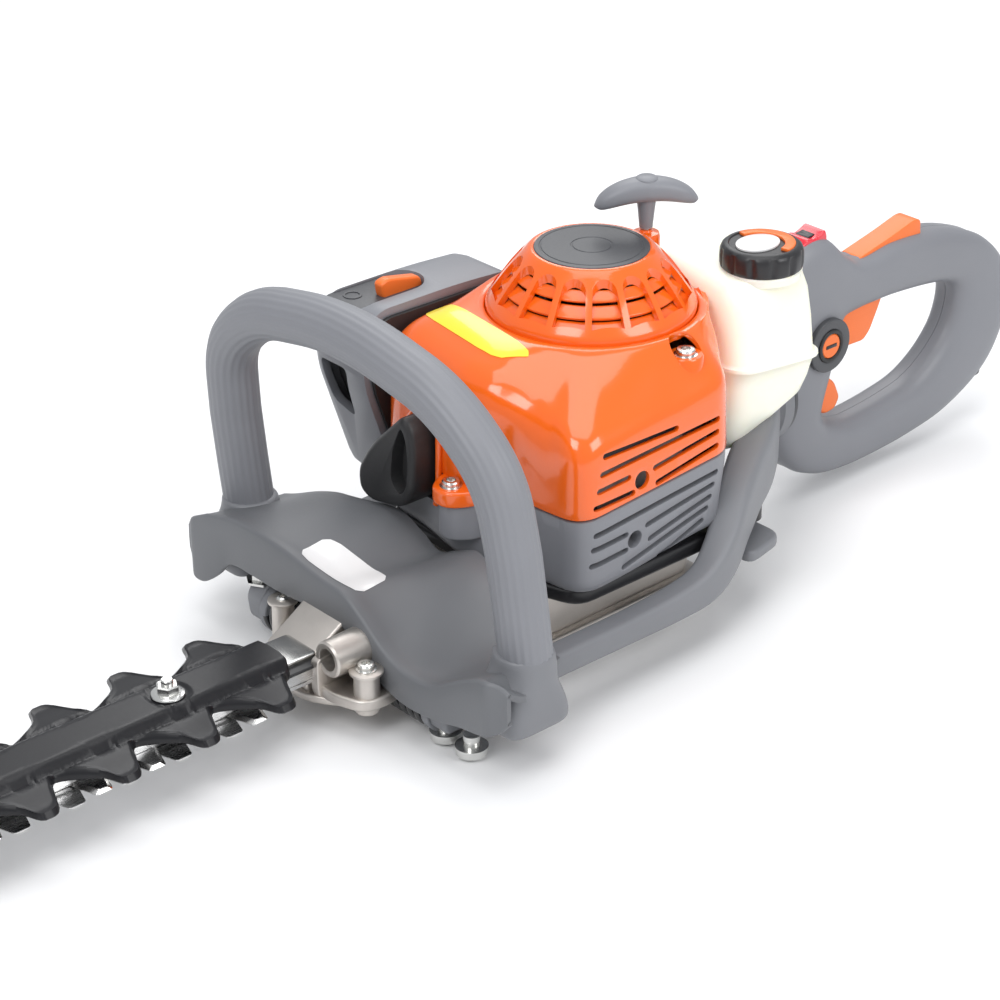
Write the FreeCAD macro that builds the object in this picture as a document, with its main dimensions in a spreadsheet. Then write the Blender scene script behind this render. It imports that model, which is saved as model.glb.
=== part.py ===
import FreeCAD, Part
import math
import os
import re
import Sketcher
from FreeCAD import Placement, Rotation, Vector

# Petrol hedge trimmer. Millimetres, +Z up, +X along the cutting bar, +Y the machine's left.
# Outlines are written from the crank axis; every sub-part's Placement carries it to crankX.

doc = FreeCAD.newDocument("HedgeTrimmer")
dims = doc.addObject("Spreadsheet::Sheet", "Dims")

DRIVING = {
    "crankX": -219,          # crank axis, from the middle of the whole machine
    "caseSplit": 22,         # height of the joint between the gear case halves
    "caseTop": 44,
    "caseWall": 4,
    "skirtTop": 60,          # top of the clutch housing, foot of the crankcase
    "cylinderZ": 90,         # height of the cylinder's axis
    "boreRadius": 16,
    "throw": 13,             # crank throw, half the stroke
    "rodLength": 46,
    "journalRadius": 6,
    "webRadius": 19.5,
    "pinRadius": 5,
    "caseRadius": 34,        # crankcase
    "crankcaseTop": 116,
    "gearX": 42,             # centre distance of pinion and drive gear
    "gearRadius": 33.2,
    "pinionRadius": 8.4,
    "gearBottom": 34,
    "gearWidth": 6,
    "bladeStroke": 9,        # each blade, either way from its middle
    "lowerBladeZ": 23.6,
    "upperBladeZ": 25.8,
    "bladeThick": 2,
    "barZ": 28,
    "barThick": 4,
    "barHalf": 15,
    "barEnd": 748,
    "combStart": 198,
    "combEnd": 754,
    "combHeight": 9,
    "toothPitch": 28,
    "hornPitch": 42,
    "boltPitch": 112,
    "boltX": 258,
    "boltRadius": 3,
    "seamZ": 91.5,           # seam between the lower cover and the cowl
    "coverBottom": 48,
    "cowlTop": 150,
    "wallThick": 2.5,
    "domeRadius": 51.5,
    "discRadius": 28,
    "discZ": 181,
    "fanRadius": 46,
    "pulleyRadius": 25.5,
    "cordX": -36,            # where the starter cord comes out
    "cordRadius": 1.6,
    "gripTop": 211,
    "tankBottom": 76,
    "tankTop": 162,
    "capX": -78,
    "capY": 38,
    "capRadius": 21,
    "railInner": 79,         # handle rails, from the centre plane
    "railWidth": 13,
    "handleX": 135,          # plane of the front handle
    "tubeRadius": 9,
    "softRadius": 12.75,
    "footTop": 58,
    "guardBack": 106,
    "guardFront": 162,
    "guardLip": 4,
    "swivelZ": 70,
    "swivelRadius": 27,
    "swivelX": -121,         # face between the frame's flange and the rear handle
    "shellHalf": 15,         # half the rear handle's width
    "bayHalf": 7,            # half the width of the bays for its levers
    "leverHalf": 6,
    "springX": 147,
    "springZ": 17.5,
    "springRadius": 12,
    "wireRadius": 1.7,
}

for row, (alias, number) in enumerate(DRIVING.items(), start=1):
    dims.set("A%d" % row, alias)
    dims.set("B%d" % row, str(number))
    dims.setAlias("B%d" % row, alias)
doc.recompute()

parts = []


def dim(alias):
    return float(dims.get(alias))


def bind(item, prop, value):
    """An expression whose words are the sheet's aliases."""
    item.setExpression(prop, re.sub(r"([A-Za-z]\w*)", r"Dims.\1", str(value)))


def place(item, label, x=0, y=0, z=0, turn=None):
    item.Label = label
    item.Placement = Placement(Vector(0, 0, 0), turn or Rotation())
    bind(item, "Placement.Base.x", "crankX + %s" % x)
    bind(item, "Placement.Base.y", y)
    bind(item, "Placement.Base.z", z)
    parts.append(item)
    return item


AIM_X = Rotation(Vector(0, 1, 0), 90)       # a turned piece's own Z along +X
AIM_Y = Rotation(Vector(1, 0, 0), -90)      # and along +Y


# Part Design: bodies, sketches, pads and pockets

def newBody(label, x=0, y=0, z=0, turn=None):
    return place(doc.addObject("PartDesign::Body", label), label, x, y, z, turn)


def newSketch(body, plane, start=0):
    sketch = body.newObject("Sketcher::SketchObject", "Sketch")
    for feature in body.Origin.OriginFeatures:
        if feature.Role == plane + "_Plane":
            sketch.AttachmentSupport = [(feature, "")]
    sketch.MapMode = "FlatFace"
    sign = "-1" if plane == "XZ" else "1"
    bind(sketch, "AttachmentOffset.Base.z", "%s * (%s)" % (sign, start))
    return sketch


def fixPoint(sketch, line, values):
    for kind, value in zip(("DistanceX", "DistanceY"), values):
        size = value if not isinstance(value, str) else 0.0
        index = sketch.addConstraint(Sketcher.Constraint(kind, -1, 1, line, 1, float(size)))
        if isinstance(value, str):
            bind(sketch, "Constraints[%d]" % index, value)


def addOutline(sketch, points):
    first = sketch.GeometryCount
    count = len(points)
    seeds = []
    for i, point in enumerate(points):
        angle = 2 * math.pi * i / count
        ring = (50 * math.cos(angle), 50 * math.sin(angle))
        seeds.append([ring[k] if isinstance(point[k], str) else point[k] for k in (0, 1)])
    for i in range(count):
        a, b = seeds[i], seeds[(i + 1) % count]
        sketch.addGeometry(Part.LineSegment(Vector(a[0], a[1], 0), Vector(b[0], b[1], 0)), False)
    for i in range(count):
        after = first + (i + 1) % count
        sketch.addConstraint(Sketcher.Constraint("Coincident", first + i, 2, after, 1))
    for i, point in enumerate(points):
        fixPoint(sketch, first + i, point)


def addCircle(sketch, x, y, radius):
    guess = 5.0 if isinstance(radius, str) else float(radius)
    line = sketch.addGeometry(Part.Circle(Vector(0, 0, 0), Vector(0, 0, 1), guess), False)
    for kind, value in (("DistanceX", x), ("DistanceY", y)):
        index = sketch.addConstraint(Sketcher.Constraint(kind, -1, 1, line, 3, 0.0))
        bind(sketch, "Constraints[%d]" % index, value)
    index = sketch.addConstraint(Sketcher.Constraint("Radius", line, guess))
    bind(sketch, "Constraints[%d]" % index, radius)


def drawn(body, plane, start, outlines, circles):
    sketch = newSketch(body, plane, start)
    for outline in outlines:
        addOutline(sketch, outline)
    for x, y, radius in circles:
        addCircle(sketch, x, y, radius)
    doc.recompute()
    return sketch


def pad(body, plane, start, length, outlines=(), circles=()):
    """Adds material from start towards + along the plane's axis."""
    feature = body.newObject("PartDesign::Pad", "Pad")
    feature.Profile = drawn(body, plane, start, outlines, circles)
    feature.Reversed = plane == "XZ"
    bind(feature, "Length", length)
    doc.recompute()
    return feature


def pocket(body, plane, start, length, outlines=(), circles=()):
    """Takes material from start towards +, and must really take some."""
    before = body.Shape.Volume
    feature = body.newObject("PartDesign::Pocket", "Pocket")
    feature.Profile = drawn(body, plane, start, outlines, circles)
    feature.Reversed = plane != "XZ"
    bind(feature, "Length", length)
    doc.recompute()
    if before - body.Shape.Volume < 0.5:
        raise RuntimeError("pocket cuts nothing in " + body.Label)
    return feature


def spun(body, outline):
    """A turned solid: outline points are (radius, height)."""
    feature = body.newObject("PartDesign::Revolution", "Spin")
    sketch = drawn(body, "XZ", 0, [outline], ())
    feature.Profile = sketch
    feature.ReferenceAxis = (sketch, ["V_Axis"])
    feature.Angle = 360
    doc.recompute()
    return feature


def ringPattern(body, features, count):
    pattern = body.newObject("PartDesign::PolarPattern", "Ring")
    pattern.Originals = features
    for feature in body.Origin.OriginFeatures:
        if feature.Role == "Z_Axis":
            pattern.Axis = (feature, [""])
    pattern.Angle = 360
    pattern.Occurrences = count
    body.Tip = pattern
    doc.recompute()


def rowPattern(body, features, count, pitch):
    pattern = body.newObject("PartDesign::LinearPattern", "Row")
    pattern.Originals = features
    for feature in body.Origin.OriginFeatures:
        if feature.Role == "X_Axis":
            pattern.Direction = (feature, [""])
    bind(pattern, "Length", "%s * %d" % (pitch, count - 1))
    pattern.Occurrences = count
    body.Tip = pattern
    doc.recompute()


def soften(body, radius, choose):
    base = body.Tip
    names = ["Edge%d" % (i + 1) for i, edge in enumerate(base.Shape.Edges) if choose(edge)]
    feature = body.newObject("PartDesign::Fillet", "Soft")
    feature.Base = (base, names)
    bind(feature, "Radius", radius)
    doc.recompute()


def upright(edge):
    low, high = edge.BoundBox.ZMin, edge.BoundBox.ZMax
    return high - low > 8 and edge.BoundBox.XLength < 0.01 and edge.BoundBox.YLength < 0.01


def flatAt(height):
    def choose(edge):
        return abs(edge.BoundBox.ZMin - height) < 0.01 and abs(edge.BoundBox.ZMax - height) < 0.01
    return choose


# Part primitives: sets of rings and rods

def rod(radius, length, x, y, z, turn=None):
    item = doc.addObject("Part::Cylinder", "Rod")
    bind(item, "Radius", radius)
    bind(item, "Height", length)
    item.Placement = Placement(Vector(0, 0, 0), turn or Rotation())
    bind(item, "Placement.Base.x", x)
    bind(item, "Placement.Base.y", y)
    bind(item, "Placement.Base.z", z)
    return item


def block(x, y, z, width, depth, height):
    item = doc.addObject("Part::Box", "Block")
    for prop, value in (("Length", width), ("Width", depth), ("Height", height)):
        bind(item, prop, value)
    bind(item, "Placement.Base.x", x)
    bind(item, "Placement.Base.y", y)
    bind(item, "Placement.Base.z", z)
    return item


def cut(base, tool):
    item = doc.addObject("Part::Cut", "Cut")
    item.Base = base
    item.Tool = tool
    return item


def grouped(label, items):
    """Pieces of one node: identical fasteners, or a joined piece where they touch."""
    item = doc.addObject("Part::Compound", label)
    item.Links = items
    doc.recompute()
    return place(item, label)


def joined(label, items):
    item = doc.addObject("Part::MultiFuse", label)
    item.Shapes = items
    doc.recompute()
    return place(item, label)


def ownShape(label, shape, x=0, y=0, z=0):
    item = doc.addObject("Part::Feature", label)
    item.Shape = shape
    return place(item, label, x, y, z)


def toothedDisc(radius, teeth, depth, bottom, height):
    """A gear blank with straight-sided teeth round the Z axis."""
    points = []
    for i in range(teeth):
        for step, reach in ((0.0, -depth), (0.3, -depth), (0.45, 0), (0.75, 0)):
            angle = 2 * math.pi * (i + step) / teeth
            points.append(Vector((radius + reach) * math.cos(angle),
                                 (radius + reach) * math.sin(angle), bottom))
    points.append(points[0])
    return Part.Face(Part.makePolygon(points)).extrude(Vector(0, 0, height))


def roundedWire(points, radius):
    """Straight runs joined by tangent arcs of one radius."""
    edges = []
    last = points[0]
    for before, corner, after in zip(points, points[1:], points[2:]):
        inward = (before - corner).normalize()
        outward = (after - corner).normalize()
        half = inward.getAngle(outward) / 2
        reach = radius / math.tan(half)
        start = corner + inward * reach
        end = corner + outward * reach
        middle = (inward + outward).normalize()
        mid = corner + middle * (radius / math.sin(half) - radius)
        if (start - last).Length > 0.01:
            edges.append(Part.LineSegment(last, start).toShape())
        edges.append(Part.Arc(start, mid, end).toShape())
        last = end
    edges.append(Part.LineSegment(last, points[-1]).toShape())
    return Part.Wire(edges)


def tube(points, bend, radius):
    wire = roundedWire(points, bend)
    aim = points[1] - points[0]
    ring = Part.Wire(Part.Circle(points[0], aim, radius).toShape())
    return wire.makePipeShell([ring], True, False)


# Gear case, clutch and drive gear

def caseOutline(inset):
    left = [(-46, 26), (-30, 42), (80, 44), (120, 33), (172, 28)]
    shrunk = [(x + (inset if x < 0 else -inset if x > 150 else 0), y - inset) for x, y in left]
    return [(x, -y) for x, y in shrunk] + [(x, y) for x, y in reversed(shrunk)]


def gearCase():
    lower = newBody("gear_case_lower")
    pad(lower, "XY", 0, "caseSplit", [caseOutline(0)])
    soften(lower, 5, upright)
    pocket(lower, "XY", "caseWall", "caseSplit - caseWall", [caseOutline(4)])
    pocket(lower, "YZ", 160, 20, [[(-24, 18), (24, 18), (24, "caseSplit + 1"), (-24, "caseSplit + 1")]])
    pad(lower, "XY", "caseWall - 1", 14, (), [("gearX", 0, 9), ("gearX", 0, "journalRadius - 0.95")])
    upper = newBody("gear_case_upper")
    pad(upper, "XY", "caseSplit", "caseTop - caseSplit", [caseOutline(0)])
    soften(upper, 5, upright)
    soften(upper, 3, flatAt(dim("caseTop")))
    pocket(upper, "XY", "caseSplit", "caseTop - caseSplit - 3", [caseOutline(4)])
    pocket(upper, "YZ", 160, 20, [[(-24, 21), (24, 21), (24, 33), (-24, 33)]])
    pad(upper, "XY", "barZ + barThick + 0.1", 10, [[(98, -13), (158, -13), (158, 13), (98, 13)]])
    for way in (1, -1):
        lug = [(-58, way * 24), (-58, way * 68), (-42, way * 68), (-30, way * 38)]
        pad(upper, "XY", 36, "caseTop - 36", [lug])
    pad(upper, "XY", "caseTop - 1", "skirtTop - caseTop + 1", (), [(0, 0, "caseRadius"), (0, 0, 30.5)])
    pocket(upper, "XY", 40, 6, (), [(0, 0, "journalRadius + 0.4")])


def gearTrain():
    width = dim("gearWidth")
    bottom = dim("gearBottom")
    shaft = Part.makeCylinder(dim("journalRadius") - 1, bottom - 5, Vector(0, 0, 5))
    gear = toothedDisc(dim("gearRadius"), 51, 2.4, bottom, width).fuse(shaft)
    shift = dim("bladeStroke")
    for side, low in ((1, 31.2), (-1, 28.4)):
        disc = Part.makeCylinder(14, 2.9, Vector(side * shift, 0, low))
        gear = gear.fuse(disc)
    ownShape("drive_gear", gear.removeSplitter(), "gearX")
    pinion = toothedDisc(dim("pinionRadius"), 12, 2.0, bottom - 0.5, width + 1)
    shank = Part.makeCylinder(dim("journalRadius"), 14, Vector(0, 0, 33))
    cup = Part.makeCylinder(27, 12, Vector(0, 0, 46.5))
    cup = cup.cut(Part.makeCylinder(25, 10.5, Vector(0, 0, 48.5)))
    ownShape("clutch_drum", cup.fuse(shank).fuse(pinion).removeSplitter())
    shoes = newBody("clutch_shoes")
    pad(shoes, "XY", 50, 7.5, (), [(0, 0, 23.5), (0, 0, "journalRadius + 0.03")])
    for side in (1, -1):
        slot = [(8 * side, -1.5), (30 * side, -1.5), (30 * side, 1.5), (8 * side, 1.5)]
        pocket(shoes, "XY", 49, 10, [slot])


# Engine: crankcase, crankshaft, piston, cylinder, flywheel

def crankcase():
    body = newBody("crankcase")
    spun(body, [(11, "skirtTop"), ("caseRadius", "skirtTop"), ("caseRadius", "crankcaseTop"),
                (11, "crankcaseTop"), (11, 108), (23, 108), (23, 72), (11, 72)])
    pad(body, "YZ", 20, 16, [[(-27, 64), (27, 64), (27, 114), (-27, 114)]])
    pocket(body, "YZ", 0, 40, (), [(0, "cylinderZ", "boreRadius + 1")])
    pocket(body, "XY", 72, 36, (), [(0, 0, 23)])
    rings = [cut(rod(10.95, 8, 0, 0, z), rod("journalRadius + 0.03", 8, 0, 0, z)) for z in (61, 108)]
    grouped("main_bearings", rings)


def crankshaft():
    low = newBody("crankshaft_lower")
    spun(low, [(0, 49.5), ("journalRadius", 49.5), ("journalRadius", 73), ("webRadius", 73),
               ("webRadius", 79), (0, 79)])
    pad(low, "XY", 78, 6, (), [("throw", 0, "pinRadius")])
    high = newBody("crankshaft_upper")
    spun(high, [(0, 101), ("webRadius", 101), ("webRadius", 107), ("journalRadius", 107),
                ("journalRadius", 146), (0, 146)])
    pad(high, "XY", 96, 6, (), [("throw", 0, "pinRadius")])


def piston():
    rodBody = newBody("connecting_rod")
    reach = "throw + rodLength"
    pad(rodBody, "XY", 85.5, 9, (), [("throw", 0, 9)])
    pad(rodBody, "XY", 85.5, 9, (), [(reach, 0, 7)])
    pad(rodBody, "XY", 87.5, 5, [[("throw + 6", -4), ("throw + rodLength - 4", -3),
                                  ("throw + rodLength - 4", 3), ("throw + 6", 4)]])
    pocket(rodBody, "XY", 84, 12, (), [("throw", 0, "pinRadius + 0.2"), (reach, 0, 4.05)])
    crown = newBody("piston", "throw + rodLength", 0, "cylinderZ", AIM_X)
    outer = "boreRadius - 0.06"
    spun(crown, [(0, 8), (13, 8), (13, -12), (outer, -12), (outer, 11), (0, 11)])
    pocket(crown, "YZ", -20, 40, (), [(0, 0, 4.05)])
    pin = doc.addObject("Part::Cylinder", "wrist_pin")
    bind(pin, "Radius", 4)
    bind(pin, "Height", 29)
    place(pin, "wrist_pin", "throw + rodLength", 0, "cylinderZ - 14.5")


def cylinder():
    body = newBody("cylinder", 36.2, 0, "cylinderZ", AIM_X)
    bore = "boreRadius"
    outline = [(bore, 0), (25, 0), (25, 4), (20, 4)]
    for i in range(6):
        start = 10 + 6 * i
        outline += [(20, start), (30, start), (30, start + 2), (20, start + 2)]
    outline += [(20, 46), (0, 46), (0, 36.5), (bore, 36.5)]
    spun(body, outline)
    plug = newBody("spark_plug", 82.4, -17, "cylinderZ + 3", AIM_X)
    spun(plug, [(0, 0), (9, 0), (9, 6), (6, 7), (5.5, 14), (3, 15), (3, 18), (0, 18)])
    boot = newBody("spark_plug_boot")
    pad(boot, "YZ", 89.5, 15, [[(-54, 82), (-46, 72), (-30, 71), (-14, 84), (-10, 98), (-14, 114),
                                (-26, 120), (-42, 118), (-52, 104)]])
    soften(boot, 5, lambda edge: edge.BoundBox.XMin > 104.4)
    pocket(boot, "YZ", 88, 13, (), [(-17, "cylinderZ + 3", 6.4)])


def flywheel():
    body = newBody("flywheel")
    spun(body, [("journalRadius + 0.03", 119), ("fanRadius", 119), ("fanRadius", 130), (42, 130),
                (42, 124), (14, 124), (14, 142), ("journalRadius + 0.03", 142)])
    vane = pad(body, "XY", 123.5, 20, [[(20, -1.2), (44, -6.2), (44, -3.8), (20, 1.2)]])
    ringPattern(body, [vane], 14)
    coil = newBody("ignition_coil")
    pad(coil, "XY", 121, 18, [[(49, -26), (66, -26), (66, 4), (49, 4)]])
    soften(coil, 3, upright)


def exhaustAndIntake():
    muffler = newBody("muffler")
    pad(muffler, "XY", 58, 58, [[(2, 38), (66, 38), (66, 70), (2, 70)]])
    soften(muffler, 7, lambda edge: True)
    carburetor = newBody("carburetor")
    pad(carburetor, "XY", 74, 30, [[(4, -57), (36, -57), (36, -37), (4, -37)]])
    pad(carburetor, "XY", 103, 9, (), [(20, -46, 9)])
    pocket(carburetor, "XZ", -62, 30, (), [(20, 89, 8)])
    base = newBody("filter_base")
    pad(base, "XZ", -66, 3, [[(-2, 62), (70, 62), (76, 138), (-2, 138)]])
    pad(base, "XZ", -64, 6.8, (), [(20, 89, 11)])
    pocket(base, "XZ", -68, 12, (), [(20, 89, 8)])
    element = newBody("filter_element")
    pad(element, "XZ", -82, 15.5, [[(4, 70), (62, 70), (65, 127), (4, 127)]])


# Covers and recoil starter

COVER = [(-30, -60), (84, -60), (91, -20), (86, 40), (79, 78), (-18, 78), (-50, 30), (-52, -30)]
COVER_INSIDE = [(-29, -57.5), (82, -57.5), (88.4, -20), (83.4, 40), (76.6, 75.5), (-17, 75.5),
                (-47.6, 29), (-49.4, -29.5)]


def covers():
    lower = newBody("lower_cover")
    pad(lower, "XY", "coverBottom", "seamZ - coverBottom", [COVER])
    soften(lower, 9, upright)
    pocket(lower, "XY", "coverBottom - 1", "seamZ - coverBottom + 2", [COVER_INSIDE])
    pocket(lower, "YZ", 75, 30, [[(-57, 68), (-6, 68), (-6, 95), (-57, 95)]])
    pocket(lower, "XZ", -61, 5, [[(6, 76), (34, 76), (34, 95), (6, 95)]])
    pocket(lower, "YZ", -55, 10, (), [(-20, 84, 4)])
    for x in (10, 24, 38, 52):
        pocket(lower, "XZ", 70, 12, [[(x, 58), (x + 9, 58), (x + 9, 82), (x, 82)]])
    cowl = newBody("engine_cowl")
    pad(cowl, "XY", "seamZ + 0.3", "cowlTop - seamZ - 0.3", [COVER])
    soften(cowl, 9, upright)
    soften(cowl, 6, flatAt(dim("cowlTop")))
    pocket(cowl, "XY", "seamZ - 1", "cowlTop - seamZ - wallThick + 1", [COVER_INSIDE])
    pocket(cowl, "XY", 140, 14, (), [(0, 0, 47)])
    pocket(cowl, "YZ", 75, 30, [[(-57, 88), (-6, 88), (-6, 112), (-18, 124), (-46, 124), (-57, 112)]])
    pocket(cowl, "XZ", -61, 5, [[(6, 88), (34, 88), (34, 104), (6, 104)]])
    for x in (10, 24, 38, 52):
        pocket(cowl, "XZ", 70, 12, [[(x, 100), (x + 9, 100), (x + 9, 122), (x, 122)]])


def fanCover():
    dome = newBody("fan_cover")
    rim = "domeRadius"
    spun(dome, [(44, "cowlTop + 0.2"), (rim, "cowlTop + 0.2"), (rim, 156), (46, 166), (38, 174),
                (30, 177.5), (0, 178), (0, 175), (29, 174.5), (36, 171.5), (43.5, 164), (46, 158),
                (44, 156)])
    slot = pocket(dome, "XY", 151, 30, [[(38.5, -3.2), (49, -4.2), (49, 4.2), (38.5, 3.2)]])
    ringPattern(dome, [slot], 16)
    pocket(dome, "XY", 160, 30, (), [("cordX", 0, 7.2)])
    disc = newBody("emblem_disc")
    spun(disc, [(0, 178.2), ("discRadius - 1", 178.2), ("discRadius", "discZ"), (26, "discZ + 2"),
                (0, "discZ + 3")])
    nub = newBody("starter_guide", "cordX")
    spun(nub, [(2.4, 168), (7, 168), (7, 181), (5.5, 183), (2.4, 183)])
    pulley = newBody("starter_pulley")
    spun(pulley, [("journalRadius + 1", 151), ("pulleyRadius", 151), ("pulleyRadius", 152.5), (20, 154),
                  ("pulleyRadius", 155.5), ("pulleyRadius", 157), ("journalRadius + 1", 157)])
    spring = newBody("recoil_spring")
    spun(spring, [(9, 159), (22, 159), (22, 164), (9, 164)])


def starterPull():
    handle = newBody("starter_handle", "cordX", 0, 0, Rotation(Vector(0, 0, 1), -31))
    spun(handle, [(2, 184), (3.6, 184), (5, 198), (5, 202), (2, 202)])
    pad(handle, "XZ", -6.5, 13, [[(-26, 193), (-14, 198), (14, 198), (26, 193), (26, 199),
                                  (12, "gripTop"), (-12, "gripTop"), (-26, 199)]])
    soften(handle, 3, lambda edge: edge.BoundBox.YLength > 10 and edge.BoundBox.XLength < 0.1)
    cord = doc.addObject("Part::Cylinder", "starter_cord")
    bind(cord, "Radius", "cordRadius")
    bind(cord, "Height", 33)
    place(cord, "starter_cord", "cordX", 0, 159)


def filterCover():
    body = newBody("filter_cover")
    outline = [(-8, 66), (60, 53.5), (70, 55), (92, 120), (92, 146), (80, 154), (-2, 154), (-10, 146)]
    pad(body, "XZ", -106, 39, [outline])
    soften(body, 8, lambda edge: edge.BoundBox.YMax < -105.9)
    inside = [(-5, 70), (58, 57.5), (67, 58.5), (88, 119), (88, 144), (79, 150), (0, 150), (-6, 145)]
    pocket(body, "XZ", -102, 36, [inside])
    pocket(body, "XY", 149, 8, [[(36, -92), (64, -92), (64, -76), (36, -76)]])
    lever = newBody("choke_lever")
    pad(lever, "XZ", -88, 8, [[(46, 136), (54, 136), (57, 156), (43, 156)]])
    heads = [rod(4.2, 2.5, x, y, z) for x, y, z in ((-4, 62, 150.1), (78, 30, 150.1), (60, -50, 150.1))]
    heads.append(rod(4.2, 2.5, 89.6, 2, 98, AIM_X))
    heads.append(rod(4.2, 2.5, 70, 78.1, 60, AIM_Y))
    grouped("cover_screws", heads)


# Fuel tank

def fuelTank():
    tank = newBody("fuel_tank")
    outline = [(-56, -50), (-100, -50), (-108.5, -42), (-108.5, 46), (-98, 56), (-50, 58), (-44, 50),
               (-57, 28), (-57, -28)]
    pad(tank, "XY", "tankBottom", "tankTop - tankBottom", [outline])
    soften(tank, 5, upright)
    soften(tank, 4, lambda edge: flatAt(dim("tankTop"))(edge) or flatAt(dim("tankBottom"))(edge))
    inside = [(-60, -46), (-99, -46), (-104.5, -40), (-104.5, 44), (-96, 52), (-52, 54), (-49, 49),
              (-61, 30), (-61, -26)]
    pocket(tank, "XY", "tankBottom + 3", "tankTop - tankBottom - 6", [inside])
    pad(tank, "XY", "tankTop - 1", 4, (), [("capX", "capY", 14), ("capX", "capY", 10)])
    pocket(tank, "XY", "tankTop - 4", 10, (), [("capX", "capY", 10)])
    cap = newBody("fuel_cap", "capX", "capY")
    spun(cap, [(0, 168), (14.6, 168), (14.6, 163), ("capRadius - 1", 163), ("capRadius", 166),
               ("capRadius - 1", 175), (17, 177), (0, 177)])
    seal = newBody("cap_seal", "capX", "capY")
    spun(seal, [(9, 165.3), (14, 165.3), (14, 167.6), (9, 167.6)])
    route = [Vector(x, y, 84) for x, y in ((-56.8, -20), (-46, -20), (-34, -42), (-16, -50), (3.8, -50))]
    ownShape("fuel_hose", tube(route, 6, 2.5))


# Handle frame: rails, cross beams and the swivel flange

def handleFrame():
    items = []
    rail = [(120, 30), (118, 48), (103, 49), (-2, 55), (-14, 76), (-30, 76), (-12, 30), (-2, 21), (30, 22)]
    for side in (0, 1):
        body = doc.addObject("PartDesign::Body", "rail")
        start = "railInner" if side else "-1 * (railInner + railWidth)"
        pad(body, "XZ", start, "railWidth", [rail])
        items.append(body)
    arm = doc.addObject("PartDesign::Body", "arm")
    pad(arm, "XY", 60, 14, [[(-16, -90), (-14, -86), (-36, -62), (-86, -24), (-86, 24), (-36, 62),
                             (-14, 86), (-16, 90), (-30, 90), (-44, 74), (-112, 30), (-112, -30),
                             (-44, -74), (-30, -90)]])
    items.append(arm)
    items.append(rod("swivelRadius", 11.5, "swivelX", 0, "swivelZ", AIM_X))
    joined("handle_frame", items)


def frontHandle():
    foot = dim("footTop")
    lean = 0.115
    shape = [(101.5, 100), (94, 148), (66, 174), (0, 187)]

    def arch(first, radius):
        half = [Vector(lean * (z - foot), y, z) for y, z in [(102, first)] + shape]
        return tube(half + [Vector(p.x, -p.y, p.z) for p in reversed(half[:-1])], 24, radius)

    bar = arch(foot + 1.5, dim("tubeRadius"))
    ownShape("front_handle", bar, "handleX")
    ownShape("front_grip", arch(foot + 4, dim("softRadius")).cut(arch(foot + 1.5, dim("tubeRadius"))), "handleX")
    for label, way in (("handle_foot_left", 1), ("handle_foot_right", -1)):
        body = newBody(label)
        low, high = sorted((way * 80, way * 114))
        pad(body, "XY", 27, "footTop - 27", [[(120.3, low), (148, low), (148, high), (120.3, high)]])
        soften(body, 6, upright)
        inward = sorted((way * 62, way * 81))
        pad(body, "XY", 1, 29, [[(134, inward[0]), (160, inward[0]), (160, inward[1]), (134, inward[1])]])


GUARD_HALF = [(0, 65), (22, 64), (38, 53), (52, 40), (62, 36), (74, 39), (92, 52), (108, 64), (119, 68)]


def waveOutline(depth):
    top = [(-y, z) for y, z in reversed(GUARD_HALF[1:])] + GUARD_HALF
    return top + [(y, z - depth) for y, z in reversed(top)]


def handGuard():
    guard = newBody("hand_guard")
    pad(guard, "YZ", "guardFront", "guardLip", [waveOutline(15.5)])
    pad(guard, "YZ", "guardBack", "guardFront - guardBack + 1", [waveOutline(4)])
    for way in (1, -1):
        low, high = sorted((way * 78, way * 130))
        notch = [(90, low), (151, low), (151, high), (90, high)]
        pocket(guard, "XY", 20, 80, [notch])
    heads = [rod(5, 2.2, x, y, 30.3) for x in (141, 153) for y in (-70, 70)]
    grouped("guard_bolts", heads)


def springs():
    items = []
    for way in (1, -1):
        helix = Part.makeHelix(5.2, 26, dim("springRadius"))
        start = Vector(dim("springRadius"), 0, 0)
        ring = Part.Wire(Part.Circle(start, Vector(0, 1, 0), dim("wireRadius")).toShape())
        coil = Part.Wire(helix.Edges).makePipeShell([ring], True, True)
        spot = Vector(dim("springX"), 33 if way > 0 else -59, dim("springZ"))
        coil.Placement = Placement(spot, AIM_Y)
        items.append(coil)
    ownShape("front_springs", Part.makeCompound(items))
    pads = [rod(8, 15.6, -50, y, 44.2) for y in (60, -60)]
    grouped("rear_isolators", pads)


# Cutting bar

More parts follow.
